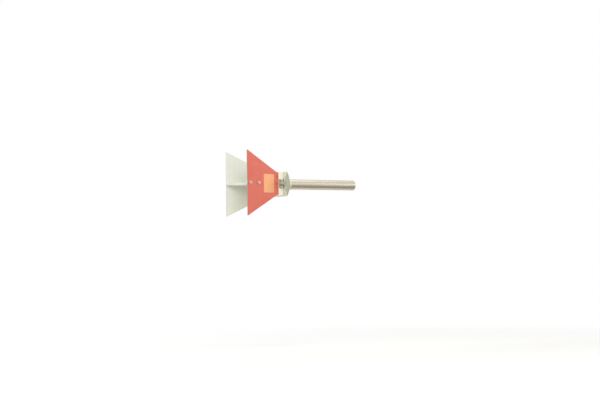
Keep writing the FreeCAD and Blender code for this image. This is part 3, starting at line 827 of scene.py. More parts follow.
@dataclass(frozen=True)
class Palette:
    """Every finish of the antenna, by the part it dresses."""

    left_plate: PlateFinish = PlateFinish("red_plate_left", Side.LEFT)
    right_plate: PlateFinish = PlateFinish("red_plate_right", Side.RIGHT)
    painted_screw: PaintedScrewFinish = PaintedScrewFinish("painted_screw")
    housing: PaintFinish = PaintFinish(
        "pale_housing", linear(244, 245, 233), linear(238, 238, 225), seed=2.5)
    block: BlockFinish = BlockFinish("cavity_block")
    tube: TubeFinish = TubeFinish("drawn_tube")
    ridge: MetalFinish = MetalFinish(
        "milled_ridge", linear(236, 236, 230), linear(222, 221, 213), Axis.X, 0.0004, 0.03,
        metallic=0.45, roughness=0.36, relief=0.000006)
    spigot: MetalFinish = MetalFinish(
        "turned_spigot", linear(226, 226, 220), linear(205, 205, 198), Axis.Y, roughness=0.3)
    steel: MetalFinish = MetalFinish(
        "stainless_screw", linear(212, 202, 191), linear(190, 182, 172), Axis.Z, 0.0002, 0.004,
        roughness=0.27)
    black: MetalFinish = MetalFinish(
        "black_screw", linear(62, 62, 62), linear(44, 44, 45), Axis.Z, 0.0002, 0.004,
        metallic=0.8, roughness=0.42)
    # painted shade: the socket's dull green-grey is partly passivated steel and partly painted shade,
    # darker and greener than bare steel
    socket: MetalFinish = MetalFinish(
        "passivated_socket", linear(170, 173, 152), linear(150, 153, 132), Axis.Z, 0.00025, 0.006,
        metallic=0.6, roughness=0.36)
    contact: MetalFinish = MetalFinish(
        "gold_contact", linear(232, 190, 108), linear(214, 168, 88), Axis.Y, 0.0002, 0.004,
        roughness=0.22)
    insulator: PaintFinish = PaintFinish(
        "white_insulator", linear(238, 238, 232), linear(228, 228, 222), tooth=0.0006,
        relief=0.000004, roughness=0.5, seed=9.0)
    sticker: StickerFinish = StickerFinish("orange_sticker")


# Mesh helpers


def soften(shape: bmesh.types.BMesh, smooth_below: float = 32.0) -> None:
    """Shades a mesh smooth with its real corners left sharp.

    Args:
        shape: The mesh.
        smooth_below: Edges that turn more than this many degrees stay sharp.
    """
    limit = math.radians(smooth_below)
    for face in shape.faces:
        face.smooth = True
    for edge in shape.edges:
        edge.smooth = len(edge.link_faces) == 2 and edge.calc_face_angle(0.0) < limit


def mesh_object(name: str, shape: bmesh.types.BMesh) -> bpy.types.Object:
    """Turns a bmesh into a shown object at the origin.

    Args:
        name: Name of the object and its mesh.
        shape: The mesh, freed here.

    Returns:
        The object.
    """
    bmesh.ops.recalc_face_normals(shape, faces=shape.faces)
    soften(shape)
    data = bpy.data.meshes.new(name)
    shape.to_mesh(data)
    shape.free()
    made = bpy.data.objects.new(name, data)
    bpy.context.scene.collection.objects.link(made)
    return made


def ring(radius: Callable[[float], float], height: float, sides: int) -> Ring:
    """One ring of points round Z.

    Args:
        radius: Radius at an angle.
        height: Z of the ring.
        sides: How many points.

    Returns:
        The points in order.
    """
    points = []
    for step in range(sides):
        turn = 2.0 * math.pi * step / sides
        reach = radius(turn)
        points.append(Vector((reach * math.cos(turn), reach * math.sin(turn), height)))
    return points


def round_radius(radius: float) -> Callable[[float], float]:
    """The same radius at every angle.

    Args:
        radius: That radius.

    Returns:
        The radius by angle.
    """

    def reach(turn: float) -> float:
        """Radius at one angle."""
        return radius

    return reach


def knurl_radius(radius: float, depth: float, sides: int) -> Callable[[float], float]:
    """Radius of a knurled head, by angle.

    Args:
        radius: Radius over the ridges.
        depth: Depth of the grooves.
        sides: How many points the ring has, two to a groove.

    Returns:
        The radius by angle.
    """

    def reach(turn: float) -> float:
        """Radius at one angle."""
        return radius - depth * (round(turn * sides / (2.0 * math.pi)) % 2)

    return reach


def hex_radius(across: float) -> Callable[[float], float]:
    """Radius of a hexagon of this width across its flats, by angle.

    Args:
        across: Width across the flats.

    Returns:
        The radius by angle.
    """
    sixth = math.pi / 3.0

    def reach(turn: float) -> float:
        """Radius at one angle."""
        return across / 2.0 / math.cos((turn % sixth) - sixth / 2.0)

    return reach


def thread_radius(crest: float, pitch: float, height: float) -> Callable[[float], float]:
    """Radius of a screw thread at one height, by angle.

    Args:
        crest: Radius over the crests.
        pitch: Rise of one turn.
        height: Distance along the screw.

    Returns:
        The radius by angle.
    """
    depth = 0.61 * pitch

    def reach(turn: float) -> float:
        """Radius at one angle.

        Args:
            turn: The angle.

        Returns:
            The radius.
        """
        phase = (height / pitch - turn / (2.0 * math.pi)) % 1.0
        flank = min(1.0, max(0.0, (abs(phase - 0.5) * 2.0 - 0.08) / 0.8))
        return crest - depth * flank

    return reach


def skin(shape: bmesh.types.BMesh, rows: Sequence[Sequence[bmesh.types.BMVert]]) -> None:
    """Joins closed rows of equal count, each to the next, with faces.

    Args:
        shape: The mesh that takes the faces.
        rows: The rows in order.
    """
    count = len(rows[0])
    for lower, upper in zip(rows, rows[1:]):
        for step in range(count):
            after = (step + 1) % count
            shape.faces.new((lower[step], lower[after], upper[after], upper[step]))


def quarter(centre: tuple[float, float], radius: float, index: int) -> list[tuple[float, float]]:
    """The points of one rounded corner.

    Args:
        centre: Middle of the rounding.
        radius: Its radius.
        index: Which corner, counted round from the one where both coordinates are highest.

    Returns:
        The points in order.
    """
    points = []
    for step in range(7):
        turn = math.pi / 2.0 * (index + step / 6.0)
        points.append((centre[0] + radius * math.cos(turn), centre[1] + radius * math.sin(turn)))
    return points


def disc(radius: float, height: float = 0.0) -> list[tuple[float, float]]:
    """The points round a hole.

    Args:
        radius: Its radius.
        height: Height of its middle.

    Returns:
        The points in order.
    """
    turns = [2.0 * math.pi * step / 32 for step in range(32)]
    return [(radius * math.cos(turn), height + radius * math.sin(turn)) for turn in turns]


def stack(rings: Sequence[Ring]) -> bmesh.types.BMesh:
    """Joins rings of equal count into one closed skin with a cap at each end.

    Args:
        rings: The rings in order.

    Returns:
        The mesh.
    """
    shape = bmesh.new()
    rows = [[shape.verts.new(point) for point in one] for one in rings]
    count = len(rows[0])
    skin(shape, rows)
    for row in (rows[0], rows[-1]):
        middle = Vector((0.0, 0.0, 0.0))
        for vert in row:
            middle += vert.co
        centre = shape.verts.new(middle / count)
        for step in range(count):
            shape.faces.new((row[step], row[(step + 1) % count], centre))
    return shape


def lathe(name: str, stations: Sequence[tuple[float, float]], axis: Axis = Axis.X,
          centre: Vector = Vector((0.0, 0.0, 0.0)), sides: int = 192) -> bpy.types.Object:
    """A closed turned shape.

    Args:
        name: Its name.
        stations: Place along the axis and radius of each ring.
        axis: The axis it is turned about.
        centre: A point that the axis passes through.
        sides: Points of a ring.

    Returns:
        The object.
    """
    shape = stack([ring(round_radius(radius), place, sides) for place, radius in stations])
    turns = {Axis.X: Matrix.Rotation(math.pi / 2.0, 4, "Y"),
             Axis.Y: Matrix.Rotation(-math.pi / 2.0, 4, "X"), Axis.Z: Matrix.Identity(4)}
    shape.transform(Matrix.Translation(centre) @ turns[axis])
    return mesh_object(name, shape)


def brick(name: str, low: Sequence[float], high: Sequence[float], chamfer: float = 0.0
          ) -> bpy.types.Object:
    """A closed box.

    Args:
        name: Its name.
        low: Its lowest corner.
        high: Its highest corner.
        chamfer: Width taken off every edge.

    Returns:
        The object.
    """
    shape = bmesh.new()
    bmesh.ops.create_cube(shape, size=1.0)
    for vert in shape.verts:
        vert.co = Vector([low[i] if vert.co[i] < 0.0 else high[i] for i in range(3)])
    if chamfer > 0.0:
        bmesh.ops.bevel(shape, geom=list(shape.edges), offset=chamfer, segments=1, affect="EDGES")
    return mesh_object(name, shape)


def settle(piece: bpy.types.Object, name: str) -> None:
    """Replaces a piece's mesh with what its modifier makes, and removes the modifier.

    Args:
        piece: The object with the modifier.
        name: Name for the new mesh.
    """
    bpy.context.view_layer.update()
    graph = bpy.context.evaluated_depsgraph_get()
    data = bpy.data.meshes.new_from_object(piece.evaluated_get(graph))
    data.name = name
    piece.modifiers.clear()
    piece.data = data
    shape = bmesh.new()
    shape.from_mesh(data)
    bmesh.ops.recalc_face_normals(shape, faces=shape.faces)
    soften(shape)
    shape.to_mesh(data)
    shape.free()


def carve(piece: bpy.types.Object, tool: bpy.types.Object, cut: Cut) -> None:
    """Cuts a piece with a tool, which is used up.

    Args:
        piece: The piece to change.
        tool: A closed shape.
        cut: Whether the tool takes away or keeps what both share.
    """
    modifier = piece.modifiers.new("carve", "BOOLEAN")
    modifier.operation = cut.value
    modifier.solver = "MANIFOLD"
    modifier.object = tool
    settle(piece, piece.name)
    piece.data.materials.clear()
    bpy.data.objects.remove(tool)


def sink(piece: bpy.types.Object, seat: Vector, axis: Axis, out: float) -> None:
    """Cuts the cone and the hole of one countersunk screw.

    Args:
        piece: The piece to cut.
        seat: Middle of the head's flat face, on the surface.
        axis: The axis of the screw.
        out: 1 where the head looks along that axis, -1 where it looks against it.
    """
    above, through = 0.001, 0.006
    head, thread = HORN.sunk_head, HORN.sunk_thread
    stations = [(above, head), (0.0, head), (thread - head, thread), (-through, thread)]
    tool = lathe("countersink", [(out * place, radius) for place, radius in stations], axis, seat, 48)
    carve(piece, tool, Cut.AWAY)


# Fasteners


@dataclass(frozen=True)
class Screw:
    """One hexagon socket screw, seat at the origin and head towards +Z."""

    thread: float
    length: float
    pitch: float
    head: float
    head_height: float
    hexagon: float
    hex_depth: float = 0.0012
    knurl_depth: float = 0.00009
    easing: float = 0.0001
    sides: int = 48

    def rings(self) -> list[Ring]:
        """The rings from the bottom of the hexagon, over the head and down the thread.

        Returns:
            The rings in order.
        """
        circle = round_radius
        top = self.head_height
        knurl = knurl_radius(self.head, self.knurl_depth, self.sides)
        start = -self.easing
        rings = [
            ring(hex_radius(self.hexagon * 0.5), top - self.hex_depth - 0.0003, self.sides),
            ring(hex_radius(self.hexagon), top - self.hex_depth, self.sides),
            ring(hex_radius(self.hexagon), top - self.easing, self.sides),
            ring(hex_radius(self.hexagon + 0.00025), top, self.sides),
            ring(circle(self.head - 0.00032), top, self.sides),
            ring(circle(self.head - self.easing), top - self.easing, self.sides),
            ring(circle(self.head - 0.00004), top - 0.00026, self.sides),
            ring(knurl, top - 0.00036, self.sides),
            ring(knurl, 0.0003, self.sides),
            ring(circle(self.head - 0.00004), 0.0002, self.sides),
            ring(circle(self.head - 0.00012), 0.0, self.sides),
            ring(circle(self.thread + self.easing), 0.0, self.sides)]
        steps = int((self.length + start - 0.0004) / self.pitch * 6)
        rings.append(ring(circle(self.thread - 0.00002), start, self.sides))
        for step in range(steps + 1):
            down = start - self.easing - (self.length + start - 0.0005) * step / steps
            rings.append(ring(thread_radius(self.thread, self.pitch, down), down, self.sides))
        rings.append(ring(circle(self.thread * 0.78), -self.length, self.sides))
        return rings

    def pattern(self, name: str) -> bpy.types.Object:
        """The screw as a pattern object for the node tree."""
        return mesh_object(name, stack(self.rings()))


class ScrewTree:
    """Geometry Nodes that set one pattern on every site, square to its seat."""

    def __init__(self) -> None:
        """Builds the tree with its named inputs."""
        self.tree = bpy.data.node_groups.new("screws_on_sites", "GeometryNodeTree")
        self.tree.is_modifier = True
        face = self.tree.interface
        face.new_socket("Sites", in_out="INPUT", socket_type="NodeSocketGeometry")
        self.keys = {
            "Pattern": face.new_socket("Pattern", in_out="INPUT", socket_type="NodeSocketObject"),
            "Finish": face.new_socket("Finish", in_out="INPUT", socket_type="NodeSocketMaterial"),
            "Seed": face.new_socket("Seed", in_out="INPUT", socket_type="NodeSocketInt")}
        face.new_socket("Screws", in_out="OUTPUT", socket_type="NodeSocketGeometry")
        sheet = NodeSheet(self.tree)
        start = sheet.add("NodeGroupInput")
        end = sheet.add("NodeGroupOutput")
        facing = sheet.add("GeometryNodeInputNamedAttribute", {"Name": "facing"},
                           data_type="FLOAT_VECTOR")
        aim = sheet.add("FunctionNodeAlignRotationToVector", {"Vector": facing.outputs[0]}, axis="Z")
        spin = sheet.add("FunctionNodeRandomValue", {
            2: 0.0, 3: math.pi / 3.0, "Seed": start.outputs["Seed"]}, data_type="FLOAT")
        twist = sheet.add("FunctionNodeAxisAngleToRotation", {
            "Axis": (0.0, 0.0, 1.0), "Angle": spin.outputs[1]})
        turned = sheet.add("FunctionNodeRotateRotation", {
            0: aim.outputs[0], 1: twist.outputs[0]}, rotation_space="LOCAL")
        shape = sheet.add("GeometryNodeObjectInfo", {"Object": start.outputs["Pattern"]})
        placed = sheet.add("GeometryNodeInstanceOnPoints", {
            "Points": start.outputs["Sites"], "Instance": shape.outputs["Geometry"],
            "Rotation": turned.outputs[0]})
        real = sheet.add("GeometryNodeRealizeInstances", {0: placed.outputs[0]})
        dressed = sheet.add("GeometryNodeSetMaterial", {
            "Geometry": real.outputs[0], "Material": start.outputs["Finish"]})
        sheet.feed(end.inputs["Screws"], dressed.outputs[0])

    def grow(self, name: str, sites: Sequence[tuple[Vector, Vector]], screw: Screw,
             finish: bpy.types.Material, seed: int) -> bpy.types.Object:
        """Makes one piece of several equal screws.

        Args:
            name: The piece's name.
            sites: Seat and direction out of each screw.
            screw: The screw to set there.
            finish: Its material.
            seed: Fixes how far each screw is turned.

        Returns:
            The piece as a plain mesh object.
        """
        data = bpy.data.meshes.new(name + "_sites")
        data.from_pydata([seat for seat, out in sites], [], [])
        facing = data.attributes.new("facing", "FLOAT_VECTOR", "POINT")
        for index, (seat, out) in enumerate(sites):
            facing.data[index].vector = out
        piece = bpy.data.objects.new(name, data)
        bpy.context.scene.collection.objects.link(piece)
        pattern = screw.pattern(name + "_pattern")
        modifier = piece.modifiers.new("screws", "NODES")
        modifier.node_group = self.tree
        modifier[self.keys["Pattern"].identifier] = pattern
        modifier[self.keys["Finish"].identifier] = finish
        modifier[self.keys["Seed"].identifier] = seed
        settle(piece, name)
        bpy.data.objects.remove(pattern)
        return piece


class RidgeTree:
    """Geometry Nodes that draw one ridge from the rule of its inner edge.

    The gap between the ridges opens as half gap * exp(rate * distance from the throat), and the
    outer edge follows the straight flare of the plate.
    """

    def __init__(self) -> None:
        """Builds the tree with its named inputs."""
        self.tree = bpy.data.node_groups.new("exponential_ridge", "GeometryNodeTree")
        self.tree.is_modifier = True
        face = self.tree.interface
        self.keys = {}
        face.new_socket("Base", in_out="INPUT", socket_type="NodeSocketGeometry")
        for label in ("Side", "Throat", "Half Gap", "Rate", "Run", "Half Throat", "Slope", "Rear",
                      "Wall", "Thickness", "Feed", "Bore", "Bore Depth"):
            self.keys[label] = face.new_socket(label, in_out="INPUT", socket_type="NodeSocketFloat")
        self.keys["Finish"] = face.new_socket("Finish", in_out="INPUT",
                                              socket_type="NodeSocketMaterial")
        face.new_socket("Ridge", in_out="OUTPUT", socket_type="NodeSocketGeometry")
        self.sheet = NodeSheet(self.tree)
        self.start = self.sheet.add("NodeGroupInput")
        end = self.sheet.add("NodeGroupOutput")
        both = self.sheet.add("GeometryNodeJoinGeometry")
        self.tree.links.new(self.root(), both.inputs[0])
        self.tree.links.new(self.wing(), both.inputs[0])
        real = self.sheet.add("GeometryNodeRealizeInstances", {0: both.outputs[0]})
        dressed = self.sheet.add("GeometryNodeSetMaterial", {
            "Geometry": real.outputs[0], "Material": self.start.outputs["Finish"]})
        self.sheet.feed(end.inputs["Ridge"], dressed.outputs[0])

    def wing(self) -> Socket:
        """The part in front of the throat, between the exponential and the straight edge.

        Returns:
            Its geometry.
        """
        sheet, given = self.sheet, self.start.outputs
        flat = sheet.add("GeometryNodeMeshGrid", {
            "Size X": 1.0, "Size Y": 1.0, "Vertices X": 121, "Vertices Y": 7})
        x, y, _ = sheet.split(sheet.add("GeometryNodeInputPosition").outputs[0])
        gone = sheet.math("MULTIPLY", sheet.math("ADD", x, 0.5), given["Run"])
        inner = sheet.math("MULTIPLY", given["Half Gap"], sheet.math(
            "EXPONENT", sheet.math("MULTIPLY", given["Rate"], gone)))
        outer = sheet.math("MULTIPLY_ADD", given["Slope"], gone, given["Half Throat"])
        across = sheet.math("MULTIPLY_ADD", sheet.math("SUBTRACT", outer, inner),
                            sheet.math("ADD", y, 0.5), inner)
        placed = sheet.add("GeometryNodeSetPosition", {
            "Geometry": flat.outputs[0],
            "Position": sheet.join(sheet.math("SUBTRACT", given["Throat"], gone),
                                   sheet.math("MULTIPLY", across, given["Side"]),
                                   sheet.math("MULTIPLY", given["Thickness"], -0.5))})
        raised = sheet.add("GeometryNodeExtrudeMesh", {
            "Mesh": placed.outputs[0], "Offset": sheet.join(0.0, 0.0, 1.0),
            "Offset Scale": given["Thickness"], "Individual": False}, mode="FACES")
        turned = sheet.add("GeometryNodeFlipFaces", {"Mesh": placed.outputs[0]})
        shell = sheet.add("GeometryNodeJoinGeometry")
        self.tree.links.new(raised.outputs[0], shell.inputs[0])
        self.tree.links.new(turned.outputs[0], shell.inputs[0])
        return sheet.add("GeometryNodeMergeByDistance", {
            "Geometry": shell.outputs[0], "Distance": 0.000001}).outputs[0]

    def root(self) -> Socket:
        """The straight part inside the housing, with the bore of the feed line.

        Returns:
            Its geometry.
        """
        sheet, given = self.sheet, self.start.outputs
        height = sheet.math("SUBTRACT", given["Wall"], given["Half Gap"])
        bar = sheet.add("GeometryNodeMeshCube", {
            "Size": sheet.join(given["Rear"], height, given["Thickness"])})
        middle = sheet.math("MULTIPLY_ADD", height, 0.5, given["Half Gap"])
        moved = sheet.add("GeometryNodeTransform", {
            "Geometry": bar.outputs[0],
            "Translation": sheet.join(sheet.math("MULTIPLY_ADD", given["Rear"], 0.5, given["Throat"]),
                                      sheet.math("MULTIPLY", middle, given["Side"]), 0.0)})
        drill = sheet.add("GeometryNodeMeshCylinder", {
            "Vertices": 48, "Radius": given["Bore"],
            "Depth": sheet.math("MULTIPLY", given["Bore Depth"], 2.0)})
        edge = sheet.math("MULTIPLY", given["Half Gap"], given["Side"])
        aimed = sheet.add("GeometryNodeTransform", {
            "Geometry": drill.outputs[0], "Rotation": (math.pi / 2.0, 0.0, 0.0),
            "Translation": sheet.join(sheet.math("ADD", given["Throat"], given["Feed"]), edge, 0.0)})
        bored = sheet.add("GeometryNodeMeshBoolean", {
            "Mesh 1": moved.outputs[0], "Mesh 2": aimed.outputs[0]}, operation="DIFFERENCE")
        return bored.outputs[0]

    def grow(self, side: Side, finish: bpy.types.Material, bore: float, depth: float
             ) -> bpy.types.Object:
        """Makes the ridge of one side.

        Args:
            side: Which side.
            finish: Its material.
            bore: Radius of the feed bore.
            depth: How far the bore runs from the ridge's inner edge.

        Returns:
            The ridge as a plain mesh object.
        """
        name = side.prefix + "_exponential_ridge"
        data = bpy.data.meshes.new(name + "_base")
        piece = bpy.data.objects.new(name, data)
        bpy.context.scene.collection.objects.link(piece)
        modifier = piece.modifiers.new("ridge", "NODES")
        modifier.node_group = self.tree
        values = {
            "Side": float(side.value), "Throat": HORN.throat_x, "Half Gap": HORN.half_gap,
            "Rate": HORN.flare_rate, "Run": HORN.ridge_run, "Half Throat": HORN.half_throat,
            "Slope": HORN.rise / HORN.flare_length, "Rear": HORN.ridge_rear,
            "Wall": HORN.wall_inside, "Thickness": HORN.ridge, "Feed": HORN.feed_setback,
            "Bore": bore, "Bore Depth": depth, "Finish": finish}
        for label, value in values.items():
            modifier[self.keys[label].identifier] = value
        settle(piece, name)
        return piece


def dress(node: str, finish: bpy.types.Material) -> None:
    """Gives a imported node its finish.

    Args:
        node: The node's name.
        finish: Its material.
    """
    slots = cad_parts[node].data.materials
    slots.clear()
    slots.append(finish)
    log.info("dressed %s in %s", node, finish.name)


def carry(piece: bpy.types.Object, slot: str, *nodes: str) -> bpy.types.Object:
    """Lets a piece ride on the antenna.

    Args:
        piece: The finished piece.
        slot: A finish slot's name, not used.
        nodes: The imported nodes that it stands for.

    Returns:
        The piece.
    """
    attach(piece, "root")
    if nodes:
        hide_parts(*nodes)
    log.info("built %s, %d faces", piece.name, len(piece.data.polygons))
    return piece


# Sub-assemblies


@dataclass
class FlaredPlates:
    """The two red plates, the ridges between them and the bare sticker outside."""

    palette: Palette
    tab_pitch: float = 0.015
    insulator_bore: float = 0.00155
    feed_bore: float = 0.0005
    feed_depth: float = 0.0045
    sticker_near: float = 0.0058
    sticker_far: float = 0.0379
    sticker_half_height: float = 0.0193
    sticker_thickness: float = 0.00012
    corner: float = 0.0012

    def build(self) -> None:
        """Builds the plates, the ridges and the sticker."""
        self.plate(Side.LEFT, self.palette.left_plate.build())
        self.plate(Side.RIGHT, self.palette.right_plate.build())
        ridge = self.palette.ridge.build()
        tree = RidgeTree()
        near = tree.grow(Side.LEFT, ridge, self.insulator_bore, HORN.wall_inside)
        carry(near, "bright_aluminium", "left_ridge")
        far = tree.grow(Side.RIGHT, ridge, self.feed_bore, self.feed_depth)
        carry(far, "bright_aluminium", "right_ridge")
        self.sticker()

    def section(self, side: Side) -> list[tuple[Vector, Vector]]:
        """The sheet's inner and outer points, from the tab's end round the bend to the aperture.

        Args:
            side: Which plate.

        Returns:
            Pairs of points at Z = 0.
        """
        tab_end = HORN.throat_x + HORN.tab
        pairs = [(Vector((tab_end, side.value * HORN.half_throat, 0.0)),
                  Vector((tab_end, side.value * HORN.wall_outside, 0.0)))]
        outer_bend = HORN.bend + HORN.sheet
        centre = Vector((HORN.throat_x + outer_bend * math.tan(HORN.angle / 2.0),
                         side.value * (HORN.half_throat + outer_bend), 0.0))
        for step in range(9):
            turn = HORN.angle * step / 8.0
            inward = Vector((-math.sin(turn), -side.value * math.cos(turn), 0.0))
            pairs.append((centre + outer_bend * inward, centre + HORN.bend * inward))
        for left in (0.00092, 0.00076, 0.0006, 0.00042, 0.00026, 0.00012, 0.00004, 0.0):
            along = HORN.slant - left
            pairs.append((HORN.on_plate(side, along, 0.0, 0.0),
                          HORN.on_plate(side, along, HORN.sheet, 0.0)))
        return pairs

    def plate(self, side: Side, finish: bpy.types.Material) -> bpy.types.Object:
        """One bent plate, whose slanted sides run straight on along the tab.

        Args:
            side: Which plate.
            finish: Its material.

        Returns:
            The piece.
        """
        rings = []
        for inner, outer in self.section(side):
            up_inner = Vector((0.0, 0.0, HORN.half_width(inner.x)))
            up_outer = Vector((0.0, 0.0, HORN.half_width(outer.x)))
            rings.append([inner - up_inner, inner + up_inner, outer + up_outer, outer - up_outer])
        piece = mesh_object(side.prefix + "_bent_plate", stack(rings))
        for up in (-1, 0, 1):
            seat = Vector((HORN.throat_x + HORN.tab / 2.0, side.value * HORN.wall_outside,
                           up * self.tab_pitch))
            sink(piece, seat, Axis.Y, side.value)
        piece.data.materials.append(finish)
        return carry(piece, "red_plate", side.prefix + "_flare_plate")

    def outline(self) -> list[tuple[float, float]]:
        """The sticker's rounded outline as distance along the plate and height.

        Returns:
            The points in order.
        """
        points = []
        corners = ((self.sticker_far, 1), (self.sticker_near, 1), (self.sticker_near, -1),
                   (self.sticker_far, -1))
        for index, (along, up) in enumerate(corners):
            inward = -1.0 if along == self.sticker_far else 1.0
            centre = (along + inward * self.corner, up * (self.sticker_half_height - self.corner))
            points += quarter(centre, self.corner, index)
        return points

    def sticker(self) -> bpy.types.Object:
        """The bare orange sticker on the left plate, its rim a little lower than its face.

        Returns:
            The piece.
        """
        shape = bmesh.new()
        outline = self.outline()
        base = HORN.sheet + 0.00001
        loops = []
        for inset, lift in ((0.0, 0.0), (0.0, 0.6), (0.00006, 1.0)):
            loop = []
            for along, height in outline:
                middle = (self.sticker_near + self.sticker_far) / 2.0
                along += math.copysign(inset, middle - along)
                height -= math.copysign(inset, height)
                proud = base + self.sticker_thickness * lift
                loop.append(shape.verts.new(HORN.on_plate(Side.LEFT, along, proud, height)))
            loops.append(loop)
        skin(shape, loops)
        shape.faces.new(loops[0])
        shape.faces.new(loops[-1])
        piece = mesh_object("plate_sticker", shape)
        piece.data.materials.append(self.palette.sticker.build())
        return carry(piece, "red_plate")


@dataclass
class ThroatHousing:
    """Side walls, covers and the turned cavity block behind them."""

    palette: Palette
    chamfer: float = 0.0004
    cover_screw: float = 0.0128
    flat_length: float = 0.0135
    cone_advance: float = 0.635
    boss: float = 0.0125
    boss_length: float = 0.0045
    boss_edge: float = 0.0005
    cavity: tuple[float, float, float] = (0.008, 0.0135, 0.018)
    spigot_head: float = 0.00515
    spigot_head_depth: float = 0.006
    tube: float = 0.01102
    tube_front: float = -0.084
    screw_bore: float = 0.0029
    rim: float = 0.00002
    over: float = 0.001

    def build(self) -> None:
        """Dresses the walls and the spigot and builds covers and block."""
        pale = self.palette.housing.build()
        for side in Side:
            dress(side.prefix + "_side_wall", pale)
        for name, up in (("top", 1), ("bottom", -1)):
            self.cover(name, up, pale)
        self.block()
        dress("tube_spigot", self.palette.spigot.build())

    def cover(self, name: str, up: int, finish: bpy.types.Material) -> bpy.types.Object:
        """One cover, which closes the housing behind the tabs.

        Args:
            name: The first word of its node's name.
            up: 1 for the cover above, -1 for the one below.
            finish: Its material.

        Returns:
            The piece.
        """
        front = HORN.throat_x + HORN.tab
        heights = sorted((up * HORN.half_housing, up * (HORN.half_housing - HORN.cover)))
        piece = brick(name + "_cover_slab", (front, -HORN.wall_outside, heights[0]),
                      (HORN.block_start, HORN.wall_outside, heights[1]),
                      self.chamfer)
        for side in Side:
            seat = Vector((HORN.throat_x + self.cover_screw, side.value * HORN.wall_middle,
                           up * HORN.half_housing))
            sink(piece, seat, Axis.Z, up)
        piece.data.materials.append(finish)
        return carry(piece, "pale_housing", name + "_cover")

    def block(self) -> bpy.types.Object:
        """The square block between two cones, with its boss, cavity and counterbores.

        Returns:
            The piece.
        """
        start = HORN.block_start
        half = HORN.half_block
        cone_end = start + self.flat_length + (half - self.boss) * self.cone_advance
        end = cone_end + self.boss_length
        piece = lathe("turned_block", [
            (start, half - self.rim),
            (start + self.flat_length / 2.0, half + self.flat_length / 2.0 / self.cone_advance),
            (cone_end, self.boss), (end - self.boss_edge, self.boss),
            (end, self.boss - self.boss_edge)])
        front, back = start - self.over, end + self.over
        carve(piece, brick("square_bar", (front, -half, -half), (back, half, half)), Cut.SHARED)
        depth, across, up = self.cavity
        carve(piece, brick("cavity", (front, -across, -up), (start + depth, across, up)), Cut.AWAY)
        well = [(start, self.spigot_head),
                (start + depth + self.spigot_head_depth, self.spigot_head)]
        carve(piece, lathe("screw_well", well), Cut.AWAY)
        carve(piece, lathe("tube_seat", [(self.tube_front, self.tube), (back, self.tube)]), Cut.AWAY)
        bore = [(start + HORN.block_screw_seat, self.screw_bore), (end, self.screw_bore)]
        for side in Side:
            for level in (-1, 1):
                centre = Vector((0.0, side.value * HORN.wall_middle, level * HORN.block_screw_height))
                carve(piece, lathe("counterbore", bore, Axis.X, centre, 64), Cut.AWAY)
        piece.data.materials.append(self.palette.block.build())
        return carry(piece, "grey_block", "cavity_block")


